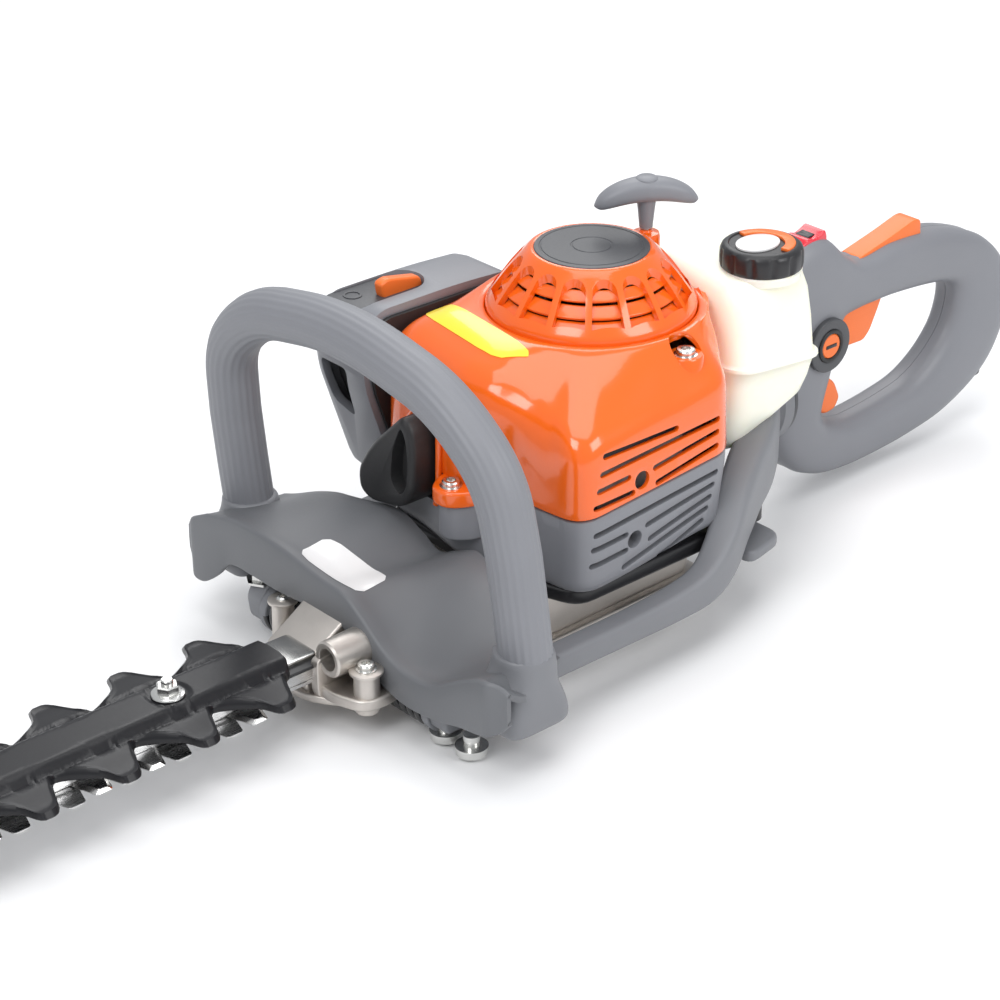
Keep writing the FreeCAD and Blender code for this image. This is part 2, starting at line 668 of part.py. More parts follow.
def cuttingBar():
    half = "barHalf"
    minus = "-1 * barHalf"
    bar = newBody("guide_bar")
    pad(bar, "XY", "barZ", "barThick", [[(96, -14), (150, minus), ("barEnd - 12", minus), ("barEnd", -6),
                                         ("barEnd", 6), ("barEnd - 12", half), (150, half), (96, 14)]])
    holes = [("boltX + boltPitch * %d" % i, 0, "boltRadius + 0.05") for i in range(5)]
    pocket(bar, "XY", "barZ - 1", "barThick + 2", (), holes)
    for label, level, first in (("upper_blade", "upperBladeZ", 228), ("lower_blade", "lowerBladeZ", 242)):
        blade = newBody(label)
        pad(blade, "XY", level, "bladeThick", [[(22, -12), (738, -12), (742, -8), (742, 8), (738, 12), (22, 12)]])
        sides = [[(first - 7, way * 10), (first + 7, way * 10), (first + 3, way * 28), (first - 3, way * 28)]
                 for way in (1, -1)]
        tooth = pad(blade, "XY", level, "bladeThick", sides)
        rowPattern(blade, [tooth], 18, "toothPitch")
        shaft = [("gearX - bladeStroke - 6", -7), ("gearX + bladeStroke + 6", -7),
                 ("gearX + bladeStroke + 6", 7), ("gearX - bladeStroke - 6", 7)]
        pocket(blade, "XY", 20, 12, [shaft])
        slots = []
        for i in range(5):
            low = "boltX + boltPitch * %d - bladeStroke - boltRadius - 1" % i
            high = "boltX + boltPitch * %d + bladeStroke + boltRadius + 1" % i
            slots.append([(low, -4), (high, -4), (high, 4), (low, 4)])
        pocket(blade, "XY", 20, 12, slots)
    comb = newBody("tooth_guard")
    base = "barZ + barThick + 0.1"
    pad(comb, "XY", base, "combHeight", [[("combStart", -17), ("combEnd - 30", -17), ("combEnd", -7),
                                          ("combEnd", 7), ("combEnd - 30", 17), ("combStart", 17)]])
    horns = [[(204, way * 16), (224, way * 16), (219, way * 39), (208, way * 39)] for way in (1, -1)]
    horn = pad(comb, "XY", base, 6, horns)
    rowPattern(comb, [horn], 13, "hornPitch")
    pocket(comb, "XY", "barZ + barThick - 1", 20, (), holes)
    bolts = []
    nuts = []
    for i in range(5):
        x = "boltX + boltPitch * %d" % i
        bolts.append(rod("boltRadius", 29, x, 0, 17))
        bolts.append(rod("boltRadius * 2", 4, x, 0, 18.8))
        ring = cut(rod("boltRadius * 2.4", 4, x, 0, 41.3), rod("boltRadius + 0.05", 4, x, 0, 41.3))
        nuts.append(ring)
    shanks = doc.addObject("Part::MultiFuse", "bar_bolts")
    shanks.Shapes = bolts
    doc.recompute()
    place(shanks, "bar_bolts")
    grouped("bar_nuts", nuts)


# Rear handle: two shells with bays for the levers

HANDLE_OUT = [(-121.5, 44), (-121.5, 106), (-128, 136), (-138, 146), (-158, 148), (-172, 136), (-186, 127),
              (-212, 131), (-259, 125), (-290, 112), (-308, 96), (-316, 74), (-308, 40), (-290, 24),
              (-262, 14), (-206, 6), (-166, 8), (-140, 20)]
HANDLE_IN = [(-176, 96), (-214, 98), (-266, 92), (-268, 78), (-258, 58), (-240, 45), (-206, 37),
             (-172, 36), (-162, 46), (-168, 66), (-175, 84)]
TRIGGER_BAY = [(-210, 88), (-168, 88), (-168, 116), (-210, 116)]
LOCK_BAY = [(-256, 112), (-216, 112), (-216, 140), (-256, 140)]
SWITCH_BAY = [(-164, 136), (-140, 136), (-140, 160), (-164, 160)]
CATCH_BAY = [(-176, 44), (-142, 44), (-142, 80), (-176, 80)]


def rearHandle():
    for label, way in (("rear_handle_left", 1), ("rear_handle_right", -1)):
        shell = newBody(label)
        start = 0 if way > 0 else "-1 * shellHalf"
        pad(shell, "XZ", start, "shellHalf", [HANDLE_OUT, HANDLE_IN])
        outside = dim("shellHalf") * way
        soften(shell, 7, lambda edge: abs(edge.BoundBox.YMin - outside) < 0.01
               and abs(edge.BoundBox.YMax - outside) < 0.01)
        inner = 0 if way > 0 else "-1 * bayHalf"
        for bay in (TRIGGER_BAY, LOCK_BAY, SWITCH_BAY, CATCH_BAY):
            pocket(shell, "XZ", inner, "bayHalf", [bay])
    bush = newBody("swivel_bush", -156, "shellHalf + 0.1", 90, AIM_Y)
    spun(bush, [(0, 0), (15, 0), (15, 2), (13, 3.6), (0, 3.6)])
    screws = [rod(3.6, 1.6, x, "shellHalf + 0.1", z, AIM_Y)
              for x, z in ((-132, 122), (-132, 40), (-286, 92), (-226, 22), (-270, 108))]
    grouped("handle_screws", screws)


def levers():
    half = "leverHalf"
    wide = "leverHalf * 2"
    low = "-1 * leverHalf"
    for label, outline in (
            ("throttle_trigger", [(-171, 97), (-172, 107), (-204, 107), (-206, 94), (-200, 78), (-192, 82),
                                  (-184, 91)]),
            ("throttle_lockout", [(-218, 117), (-219, 127), (-238, 135), (-253, 131), (-253, 119)]),
            ("stop_switch", [(-161.5, 139), (-142.5, 139), (-143, 152), (-161, 152)]),
            ("handle_catch", [(-145, 60), (-146, 74), (-160, 75), (-171, 66), (-172, 50), (-163, 48),
                              (-154, 58)])):
        lever = newBody(label)
        pad(lever, "XZ", low, wide, [outline])
        soften(lever, 1.5, lambda edge: edge.BoundBox.YLength > 2 * dim("leverHalf") - 0.1)


gearCase()
gearTrain()
crankcase()
crankshaft()
piston()
cylinder()
flywheel()
exhaustAndIntake()
covers()
fanCover()
starterPull()
filterCover()
fuelTank()
handleFrame()
frontHandle()
handGuard()
springs()
cuttingBar()
rearHandle()
levers()
doc.recompute()

for item in doc.Objects:
    if "Invalid" in item.State or "Error" in item.State:
        raise RuntimeError("failed: %s %s" % (item.Label, item.State))
for item in parts:
    if item.Shape.isNull() or not item.Shape.isValid():
        raise RuntimeError("bad shape: " + item.Label)

os.makedirs("parts", exist_ok=True)
whole = FreeCAD.BoundBox()
for item in parts:
    item.Shape.exportStep("parts/%s.step" % item.Label)
    whole.add(item.Shape.BoundBox)
print(len(parts), "sub-parts, box", whole)
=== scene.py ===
import bpy
import bmesh
from math import sin, cos, pi, radians, degrees, sqrt, atan2, hypot
from mathutils import Vector, Matrix
from mathutils.bvhtree import BVHTree


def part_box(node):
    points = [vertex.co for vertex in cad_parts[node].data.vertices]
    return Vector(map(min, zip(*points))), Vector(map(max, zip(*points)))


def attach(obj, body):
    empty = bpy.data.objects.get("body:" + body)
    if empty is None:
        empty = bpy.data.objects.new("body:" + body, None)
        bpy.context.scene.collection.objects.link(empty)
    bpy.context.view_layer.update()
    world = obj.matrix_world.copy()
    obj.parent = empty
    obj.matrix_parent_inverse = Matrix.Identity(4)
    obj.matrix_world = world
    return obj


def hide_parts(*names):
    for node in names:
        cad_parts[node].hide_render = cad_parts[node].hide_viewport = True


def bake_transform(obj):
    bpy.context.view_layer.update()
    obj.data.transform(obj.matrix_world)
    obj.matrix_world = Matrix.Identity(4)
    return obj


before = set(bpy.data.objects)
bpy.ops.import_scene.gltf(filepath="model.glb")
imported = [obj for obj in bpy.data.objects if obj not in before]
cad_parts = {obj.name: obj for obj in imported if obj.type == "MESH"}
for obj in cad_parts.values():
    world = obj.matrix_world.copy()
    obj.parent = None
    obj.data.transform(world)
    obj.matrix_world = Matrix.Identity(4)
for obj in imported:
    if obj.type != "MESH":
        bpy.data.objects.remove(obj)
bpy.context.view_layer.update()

# Points are written in millimetres from the engine's crank axis and carried into the frame here
mm = 0.001
fanLow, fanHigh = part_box("flywheel")
crankX = (fanLow[0] + fanHigh[0]) / 2


def at(x, y, z):
    return Vector((crankX + x * mm, y * mm, z * mm))


# Curves and outlines

def lerp(a, b, t):
    return a + (b - a) * t


def ease(t):
    t = min(max(t, 0.0), 1.0)
    return t * t * (3 - 2 * t)


def keyed(keys, x, soft=True):
    # value at x from (place, value) pairs
    if x <= keys[0][0]:
        return keys[0][1]
    for (x0, v0), (x1, v1) in zip(keys, keys[1:]):
        if x <= x1:
            t = (x - x0) / (x1 - x0)
            return lerp(v0, v1, ease(t) if soft else t)
    return keys[-1][1]


def rounded(points, radius, steps=5, closed=True):
    # corners become curves; radius is one number or one per point
    count = len(points)
    out = []
    for i, p in enumerate(points):
        p = Vector(p)
        if not closed and i in (0, count - 1):
            out.append(tuple(p))
            continue
        before = Vector(points[i - 1]) - p
        after = Vector(points[(i + 1) % count]) - p
        r = radius[i] if isinstance(radius, (list, tuple)) else radius
        r = min(r, before.length * 0.48, after.length * 0.48)
        if r < 0.01:
            out.append(tuple(p))
            continue
        a = p + before.normalized() * r
        b = p + after.normalized() * r
        for k in range(steps + 1):
            t = k / steps
            out.append(tuple(a * (1 - t) ** 2 + p * (2 * t * (1 - t)) + b * t ** 2))
    return out


def flowing(points, steps, closed=False):
    # a smooth curve through points of any dimension
    pts = [Vector(p) for p in points]
    count = len(pts)
    out = []
    spans = count if closed else count - 1
    for i in range(spans):
        if closed:
            a, b, c, d = (pts[(i + k) % count] for k in (-1, 0, 1, 2))
        else:
            b, c = pts[i], pts[i + 1]
            a = pts[i - 1] if i else b * 2 - c
            d = pts[i + 2] if i + 2 < count else c * 2 - b
        for k in range(steps):
            t = k / steps
            out.append(((b * 2) + (c - a) * t + (a * 2 - b * 5 + c * 4 - d) * t ** 2
                        + (b * 3 - a - c * 3 + d) * t ** 3) * 0.5)
    if not closed:
        out.append(pts[-1])
    return out


def capsule(x0, z0, x1, z1, r, steps=6):
    # a slot's outline round the line from one end to the other
    angle = atan2(z1 - z0, x1 - x0)
    out = []
    for cx, cz, turn in ((x1, z1, -pi / 2), (x0, z0, pi / 2)):
        for k in range(steps + 1):
            a = angle + turn + pi * k / steps
            out.append((cx + r * cos(a), cz + r * sin(a)))
    return out


def ring2(cx, cz, r, steps=28):
    return [(cx + r * cos(2 * pi * k / steps), cz + r * sin(2 * pi * k / steps)) for k in range(steps)]


# Mesh pieces

def build(name, verts, faces):
    mesh = bpy.data.meshes.new(name)
    mesh.from_pydata([at(*v) for v in verts], [], faces)
    mesh.validate()
    obj = bpy.data.objects.new(name, mesh)
    bpy.context.collection.objects.link(obj)
    work = bmesh.new()
    work.from_mesh(mesh)
    bmesh.ops.remove_doubles(work, verts=work.verts, dist=1e-6)
    bmesh.ops.recalc_face_normals(work, faces=work.faces)
    work.to_mesh(mesh)
    work.free()
    return obj


def applyMods(obj):
    graph = bpy.context.evaluated_depsgraph_get()
    done = bpy.data.meshes.new_from_object(obj.evaluated_get(graph))
    obj.modifiers.clear()
    old = obj.data
    obj.data = done
    bpy.data.meshes.remove(old)
    return obj


def dress(obj, finish, body="base", stands=(), sharp=38):
    obj.data.materials.clear()
    obj.data.materials.append(finish)
    for face in obj.data.polygons:
        face.use_smooth = True
    obj.data.set_sharp_from_angle(angle=radians(sharp))
    if body:
        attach(obj, body)
    if stands:
        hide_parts(*([stands] if isinstance(stands, str) else stands))
    return obj


def bevel(obj, width, segments=3, angle=30):
    mod = obj.modifiers.new("edges", "BEVEL")
    mod.width = width * mm
    mod.segments = segments
    mod.limit_method = "ANGLE"
    mod.angle_limit = radians(angle)
    mod.use_clamp_overlap = True
    return applyMods(obj)


def thicken(obj, depth, offset=-1):
    mod = obj.modifiers.new("wall", "SOLIDIFY")
    mod.thickness = depth * mm
    mod.offset = offset
    mod.use_even_offset = True
    return applyMods(obj)


def subdivide(obj, levels=1):
    mod = obj.modifiers.new("smooth", "SUBSURF")
    mod.levels = levels
    mod.render_levels = levels
    return applyMods(obj)


def carve(obj, cutters):
    for cutter in cutters:
        before = obj.data.copy()
        for solver in ("MANIFOLD", "EXACT"):      # a cut that loses the piece is tried again the other way
            mod = obj.modifiers.new("cut", "BOOLEAN")
            mod.operation = "DIFFERENCE"
            mod.solver = solver
            mod.object = cutter
            applyMods(obj)
            if len(obj.data.polygons) > 0.6 * len(before.polygons):
                break
            obj.data = before.copy()
        bpy.data.meshes.remove(before)
        bpy.data.objects.remove(cutter)
    return obj


def merged(objs):
    mesh = bpy.data.meshes.new(objs[0].name)
    work = bmesh.new()
    for obj in objs:
        work.from_mesh(obj.data)
    work.to_mesh(mesh)
    work.free()
    first = objs[0]
    name = first.name
    for obj in objs:
        bpy.data.objects.remove(obj)
    whole = bpy.data.objects.new(name, mesh)
    bpy.context.collection.objects.link(whole)
    return whole


def grid(name, rows, around=True, caps=True, closedRows=False):
    # rows of equally many points; around joins each row's ends, closedRows joins last row to first
    wide = len(rows[0])
    verts = [tuple(p) for row in rows for p in row]
    faces = []
    tall = len(rows) if closedRows else len(rows) - 1
    for i in range(tall):
        low = i * wide
        high = ((i + 1) % len(rows)) * wide
        for j in range(wide if around else wide - 1):
            k = (j + 1) % wide
            faces.append((low + j, low + k, high + k, high + j))
    if caps and around and not closedRows:
        faces.append(tuple(range(wide)))
        faces.append(tuple(range((len(rows) - 1) * wide, len(rows) * wide)))
    return build(name, verts, faces)


axisFrames = {"Z": ((1, 0, 0), (0, 1, 0), (0, 0, 1)), "X": ((0, 1, 0), (0, 0, 1), (1, 0, 0)),
              "Y": ((0, 0, 1), (1, 0, 0), (0, 1, 0))}


def lathe(name, profile, centre=(0, 0, 0), axis="Z", steps=72, closed=False, wobble=None):
    # profile points are (radius, height along the axis)
    u, v, w = (Vector(a) for a in (axisFrames[axis] if isinstance(axis, str) else axis))
    rows = []
    for r, height in profile:
        row = []
        for k in range(steps):
            a = 2 * pi * k / steps
            reach = r + (wobble(a, r, height) if wobble else 0)
            row.append(Vector(centre) + (u * cos(a) + v * sin(a)) * reach + w * height)
        rows.append(row)
    return grid(name, rows, caps=not closed, closedRows=closed)


def toSpace(plane, a, b, depth):
    if plane == "XY":
        return (a, b, depth)
    if plane == "XZ":
        return (a, depth, b)
    return (depth, a, b)


def prism(name, outline, low, high, plane="XZ"):
    return grid(name, [[toSpace(plane, a, b, depth) for a, b in outline] for depth in (low, high)])


def slab(name, outline, low, high, plane="XZ", edge=1.0, segments=3):
    return bevel(prism(name, outline, low, high, plane), edge, segments)


def block(name, low, high, edge=1.0, segments=3):
    outline = [(low[0], low[1]), (high[0], low[1]), (high[0], high[1]), (low[0], high[1])]
    return slab(name, outline, low[2], high[2], "XY", edge, segments)


def sweep(name, path, section, side=(0, 1, 0), caps=True):
    # section(i, t) gives (along side, along the other normal) offsets round the path
    path = [Vector(p) for p in path]
    rows = []
    last = len(path) - 1
    for i, p in enumerate(path):
        run = (path[min(i + 1, last)] - path[max(i - 1, 0)]).normalized()
        across = Vector(side) - run * run.dot(Vector(side))
        across.normalize()
        up = run.cross(across)
        rows.append([p + across * a + up * b for a, b in section(i, i / last)])
    return grid(name, rows, caps=caps)


def disc2(r, steps=20, squash=1.0):
    return [(r * cos(2 * pi * k / steps), r * squash * sin(2 * pi * k / steps)) for k in range(steps)]


def superEllipse(a, b, power, steps=28):
    out = []
    for k in range(steps):
        angle = 2 * pi * k / steps
        c, s = cos(angle), sin(angle)
        out.append((a * abs(c) ** (2 / power) * (1 if c >= 0 else -1),
                    b * abs(s) ** (2 / power) * (1 if s >= 0 else -1)))
    return out


def draped(name, corners, target, lift=0.25, across=24, down=10, aim=(0, 0, -1), radius=0.12):
    # a thin label laid on a piece: corners are four points above it, in order
    surface = BVHTree.FromPolygons([v.co for v in target.data.vertices],
                                   [tuple(p.vertices) for p in target.data.polygons])
    a, b, c, d = (Vector(p) for p in corners)
    aim = Vector(aim).normalized()
    rows = []
    for i in range(down + 1):
        row = []
        for j in range(across + 1):
            u, v = j / across, i / down
            x, y = abs(u - 0.5) * 2, abs(v - 0.5) * 2
            pull = 1 - radius * max(0, x + y - 1.6) / 0.4      # soft corners
            u, v = 0.5 + (u - 0.5) * pull, 0.5 + (v - 0.5) * pull
            p = a.lerp(b, u).lerp(d.lerp(c, u), v)
            hit, normal, _, _ = surface.ray_cast(at(*p), aim)
            if hit is None:
                hit = at(*p)
                normal = -aim
            if normal.dot(aim) > 0:
                normal = -normal
            place = (hit + normal * lift * mm) / mm
            row.append((place.x - crankX / mm, place.y, place.z))
        rows.append(row)
    return thicken(grid(name, rows, around=False), 0.12, 0)


# Materials: a wrapped socket does arithmetic, a Finish adds nodes

class Wire:
    def __init__(self, finish, socket):
        self.finish = finish
        self.socket = socket

    def maths(self, operation, a, b):
        return self.finish.node("Math", {"operation": operation}, {0: a, 1: b})

    def __add__(self, other):
        return self.maths("ADD", self, other)

    def __mul__(self, other):
        return self.maths("MULTIPLY", self, other)

    __radd__ = __add__
    __rmul__ = __mul__


class Finish:
    def __init__(self, name, **fixed):
        self.material = bpy.data.materials.new(name)
        self.material.use_nodes = True
        self.tree = self.material.node_tree
        self.shader = self.tree.nodes["Principled BSDF"]
        for key, value in fixed.items():
            socket = self.shader.inputs[key.replace("_", " ")]
            if isinstance(value, tuple) and len(value) == 3 and len(socket.default_value) == 4:
                value = (*value, 1.0)
            socket.default_value = value

    def node(self, kind, settings=None, sockets=None, output=0):
        node = self.tree.nodes.new("ShaderNode" + kind)
        for key, value in (settings or {}).items():
            if key == "stops":
                for spare in list(node.color_ramp.elements)[2:]:
                    node.color_ramp.elements.remove(spare)
                while len(node.color_ramp.elements) < len(value):
                    node.color_ramp.elements.new(0.5)
                for stop, (place, colour) in zip(node.color_ramp.elements, value):
                    stop.position = place
                    stop.color = colour if isinstance(colour, tuple) else (colour, colour, colour, 1)
            else:
                setattr(node, key, value)
        for key, value in (sockets or {}).items():
            self.feed(node.inputs[key], value)
        return Wire(self, node.outputs[output])

    def feed(self, socket, value):
        if isinstance(value, Wire):
            self.tree.links.new(value.socket, socket)
        elif isinstance(value, tuple) and len(value) == 3 and socket.type == "RGBA":
            socket.default_value = (*value, 1.0)
        else:
            socket.default_value = value

    def set(self, name, value):
        self.feed(self.shader.inputs[name], value)

    def place(self, stretch=(1, 1, 1)):
        spot = self.node("TexCoord", output=3)
        return self.node("Mapping", {}, {"Vector": spot, "Scale": stretch})

    def noise(self, scale, detail=4, rough=0.55, stretch=(1, 1, 1)):
        return self.node("TexNoise", {}, {"Vector": self.place(stretch), "Scale": scale, "Detail": detail,
                                          "Roughness": rough})

    def blend(self, factor, a, b):
        return self.node("Mix", {"data_type": "RGBA"}, {0: factor, 6: a, 7: b}, 2)

    def ramp(self, value, *stops):
        return self.node("ValToRGB", {"stops": list(stops)}, {0: value})

    def bump(self, height, strength, distance):
        self.set("Normal", self.node("Bump", {}, {"Strength": strength, "Distance": distance * mm,
                                                  "Height": height}))


def shade(colour, factor):
    return tuple(min(1.0, c * factor) for c in colour)


def mouldedPlastic(name, colour, rough=0.45, grain=900, depth=0.05, strength=0.35, **fixed):
    # satin plastic with a spark-eroded grain and slow, faint colour drift
    f = Finish(name, **fixed)
    fine = f.noise(grain, 3, 0.6)
    slow = f.noise(14, 3)
    f.set("Base Color", f.blend(slow, shade(colour, 0.9), shade(colour, 1.08)))
    f.set("Roughness", fine * 0.12 + slow * 0.1 + (rough - 0.1))
    f.bump(fine, strength, depth)
    return f.material


def glossPlastic(name, colour, rough=0.16, **fixed):
    # glossy shell: faint orange peel, rub haze and hairline scratches
    f = Finish(name, Coat_Weight=0.55, Coat_Roughness=0.06, IOR=1.5, **fixed)
    peel = f.noise(260, 2, 0.4)
    haze = f.noise(18, 5, 0.6)
    hair = f.ramp(f.noise(70, 6, 0.7, (1, 14, 3)), (0.66, 0.0), (0.72, 1.0))
    f.set("Base Color", f.blend(haze, shade(colour, 0.94), shade(colour, 1.04)))
    f.set("Roughness", haze * 0.12 + hair * 0.03 + (rough - 0.05))
    f.bump(peel, 0.12, 0.08)
    return f.material


def castMetal(name, colour, rough=0.42):
    # die-cast skin: pebbled, a little stained, brighter where rubbed
    f = Finish(name, Metallic=1.0)
    pebble = f.noise(520, 5, 0.65)
    stain = f.noise(38, 5, 0.6)
    f.set("Base Color", f.blend(stain, shade(colour, 0.78), shade(colour, 1.12)))
    f.set("Roughness", pebble * 0.18 + stain * 0.16 + (rough - 0.14))
    f.bump(pebble, 0.4, 0.12)
    return f.material


def groundSteel(name, colour, rough=0.24, stretch=(1, 22, 22)):
    # ground along one way, with fine lines
    f = Finish(name, Metallic=1.0)
    lines = f.noise(130, 4, 0.7, stretch)
    cloud = f.noise(30, 4)
    f.set("Base Color", f.blend(cloud, shade(colour, 0.86), shade(colour, 1.08)))
    f.set("Roughness", lines * 0.2 + cloud * 0.1 + (rough - 0.12))
    f.bump(lines, 0.22, 0.04)
    return f.material


def rubberLike(name, colour, rough=0.6, grain=700):
    f = Finish(name, Specular_IOR_Level=0.4)
    fine = f.noise(grain, 4, 0.6)
    bloom = f.noise(40, 5)
    f.set("Base Color", f.blend(bloom, shade(colour, 0.8), shade(colour, 1.4)))
    f.set("Roughness", fine * 0.14 + bloom * 0.12 + (rough - 0.12))
    f.bump(fine, 0.3, 0.06)
    return f.material


def milkyPlastic(name, colour):
    # blow-moulded tank: cloudy, waxy, light passes a little way in
    f = Finish(name, Subsurface_Weight=0.35, Subsurface_Radius=(1.0, 0.85, 0.55), Subsurface_Scale=0.012,
               IOR=1.5)
    cloud = f.noise(16, 4, 0.5)
    fine = f.noise(420, 3)
    f.set("Base Color", f.blend(cloud, shade(colour, 0.93), shade(colour, 1.05)))
    f.set("Roughness", fine * 0.1 + cloud * 0.12 + 0.24)
    f.bump(fine, 0.16, 0.08)
    return f.material


colours = {
    "orange": (0.86, 0.128, 0.006), "leverOrange": (0.86, 0.17, 0.025), "grey": (0.205, 0.21, 0.23),
    "frameGrey": (0.185, 0.19, 0.205), "guardGrey": (0.135, 0.14, 0.15), "gripGrey": (0.215, 0.22, 0.24),
    "darkGrey": (0.06, 0.062, 0.068), "black": (0.016, 0.016, 0.018), "tank": (0.95, 0.94, 0.8),
    "red": (0.72, 0.02, 0.04), "castAlloy": (0.64, 0.6, 0.56), "steel": (0.6, 0.6, 0.6),
    "zinc": (0.74, 0.74, 0.72), "yellow": (0.95, 0.72, 0.02), "blue": (0.02, 0.32, 0.68), "white": (0.85, 0.85, 0.85),
}

orangeGloss = glossPlastic("orangeGloss", colours["orange"])
orangeSatin = mouldedPlastic("orangeSatin", colours["leverOrange"], 0.36, 700, 0.04, 0.25)
greyShell = mouldedPlastic("greyShell", colours["grey"], 0.42)
frameShell = mouldedPlastic("frameShell", colours["frameGrey"], 0.44)
guardShell = mouldedPlastic("guardShell", colours["guardGrey"], 0.46)
gripRubber = mouldedPlastic("gripRubber", colours["gripGrey"], 0.5, 600, 0.07, 0.4)
darkPlastic = mouldedPlastic("darkPlastic", colours["darkGrey"], 0.4)
combPlastic = mouldedPlastic("combPlastic", (0.009, 0.009, 0.011), 0.3, 520, 0.06, 0.3, Specular_IOR_Level=0.35)
blackRubber = rubberLike("blackRubber", (0.018, 0.018, 0.019), 0.42)
blackPlastic = mouldedPlastic("blackPlastic", colours["black"], 0.34)
tankPlastic = milkyPlastic("tankPlastic", colours["tank"])
redPlastic = glossPlastic("redPlastic", colours["red"], 0.2)
castAlloy = castMetal("castAlloy", colours["castAlloy"])
bladeSteel = groundSteel("bladeSteel", colours["steel"])
groundEdge = groundSteel("groundEdge", (0.86, 0.85, 0.83), 0.16, (22, 1, 22))
zincSteel = groundSteel("zincSteel", colours["zinc"], 0.2, (1, 1, 1))
springSteel = glossPlastic("springSteel", (0.012, 0.012, 0.013), 0.25)
ironDark = castMetal("ironDark", (0.3, 0.29, 0.28), 0.55)
glazed = glossPlastic("glazed", (0.82, 0.81, 0.78), 0.1)
openFoam = rubberLike("openFoam", (0.05, 0.05, 0.052), 0.9, 260)
cordFibre = rubberLike("cordFibre", (0.6, 0.6, 0.56), 0.8, 900)
labelYellow = glossPlastic("labelYellow", colours["yellow"], 0.28)
labelBlue = glossPlastic("labelBlue", colours["blue"], 0.28)
labelWhite = glossPlastic("labelWhite", colours["white"], 0.3)
print("materials made")


# Stage: pale floor, soft lights, camera

def stageRoom():
    floor = bpy.data.objects.new("floor", bpy.data.meshes.new("floor"))
    size = 6
    floor.data.from_pydata([(-size, -size, 0), (size, -size, 0), (size, size, 0), (-size, size, 0)], [],
                           [(0, 1, 2, 3)])
    bpy.context.collection.objects.link(floor)
    f = Finish("paleFloor", Roughness=0.6)
    f.set("Base Color", f.blend(f.noise(3, 2), (0.86, 0.86, 0.87), (0.9, 0.9, 0.9)))
    floor.data.materials.append(f.material)
    world = bpy.data.worlds.new("room")
    world.use_nodes = True
    world.node_tree.nodes["Background"].inputs[0].default_value = (0.95, 0.97, 1.0, 1)
    world.node_tree.nodes["Background"].inputs[1].default_value = 0.6
    bpy.context.scene.world = world
    lights = [("key", (1.5, 0.6, 1.9), 1.1, 22), ("side", (-0.6, 1.8, 1.3), 1.0, 16),
              ("back", (-1.3, -1.2, 1.6), 1.2, 14), ("top", (-0.1, 0.1, 2.2), 1.6, 18)]
    for name, spot, size, power in lights:
        lamp = bpy.data.lights.new(name, "AREA")
        lamp.shape = "SQUARE"
        lamp.size = size
        lamp.energy = power
        obj = bpy.data.objects.new(name, lamp)
        obj.location = spot
        obj.rotation_euler = (Vector((0, 0, 0.08)) - Vector(spot)).to_track_quat("-Z", "Y").to_euler()
        bpy.context.collection.objects.link(obj)


def placeCamera():
    view = {"spot": (851.8, 896.9, 694.5), "aim": (-0.5893, -0.667, -0.4558), "roll": -0.006, "lens": 100.5,
            "shift": -0.0244}
    data = bpy.data.cameras.new("camera")
    data.lens = view["lens"]
    data.sensor_width = 36
    data.shift_y = view["shift"]
    obj = bpy.data.objects.new("camera", data)
    obj.location = at(*view["spot"])
    turn = Vector(view["aim"]).to_track_quat("-Z", "Y") @ Matrix.Rotation(view["roll"], 3, "Z").to_quaternion()
    obj.rotation_euler = turn.to_euler()
    bpy.context.collection.objects.link(obj)
    bpy.context.scene.camera = obj


stageRoom()
placeCamera()
bpy.context.scene.view_settings.view_transform = "Standard"
print("stage set")

# Engine cowl and the grey cover below it: a skin from the fan's rim out over the shoulder and down

cowl = {
    "plan": [((79, 78), 15), ((82, 50), 8), ((82, 34), 10), ((91, 19), 8), ((93, 5), 7), ((91, -7), 6),
             ((86, -30), 30), ((84, -60), 16), ((-30, -60), 20), ((-52, -30), 25), ((-50, 30), 25), ((-18, 78), 10)],
    "rim": 51.5, "rimTop": 155.5, "plateau": 56.5, "wall": 2.4,
    "shoulder": [(0, 147), (12, 146), (38, 129.5), (46, 128), (75, 131), (105, 136), (125, 146), (150, 150),
                 (200, 150), (240, 148), (285, 146), (320, 148), (360, 147)],
    "rounding": [(0, 34), (25, 30), (42, 12), (60, 7), (100, 7), (125, 12), (200, 14), (250, 22), (300, 30), (330, 36),
                 (360, 34)],
    "swell": [(0, 3.5), (20, 2), (40, 1.5), (60, 5), (95, 3), (130, 0), (250, 2), (320, 4), (360, 3.5)],
    "seamFront": 92, "seamRise": 6.5, "bottomLow": 51, "slotWidth": 3.1, "holeRadius": 4.6,
    "upperSlots": [(63, 121.5, 17.5, 121), (65, 113, -10, 117), (67, 105, 48.5, 106), (31.5, 105.5, -9.5, 110.5),
                   (69, 97, 46, 97.5), (30, 97.5, -9, 103.5)],
    "lowerSlots": [(68.5, 82.5, -10, 89), (69.5, 75, 49, 76), (35, 76.5, -8.5, 82.5), (70, 66.5, 48.5, 67.5),
                   (32.5, 68, -7.5, 76), (49.5, 59, -6, 70), (24.5, 55.5, -3.5, 64)],
    "upperHole": (40, 102), "lowerHole": (43, 71.5),
    "bootArch": [(-46, 70), (-46, 84), (-40, 101), (-28, 116), (-18, 123), (-11, 119), (-8.4, 104), (-8.4, 72)],
}


def planPoints(spec):
    return rounded([p for p, r in spec], [r for p, r in spec], 7)


def evenly(points, count):
    # the closed outline's points, spread evenly along it but kept at its corners
    pts = [Vector(p) for p in points]
    total = sum((pts[i] - pts[i - 1]).length for i in range(len(pts)))
    out = []
    for i, p in enumerate(pts):
        q = pts[(i + 1) % len(pts)]
        pieces = max(1, round((q - p).length / total * count))
        out += [p.lerp(q, k / pieces) for k in range(pieces)]
    return out


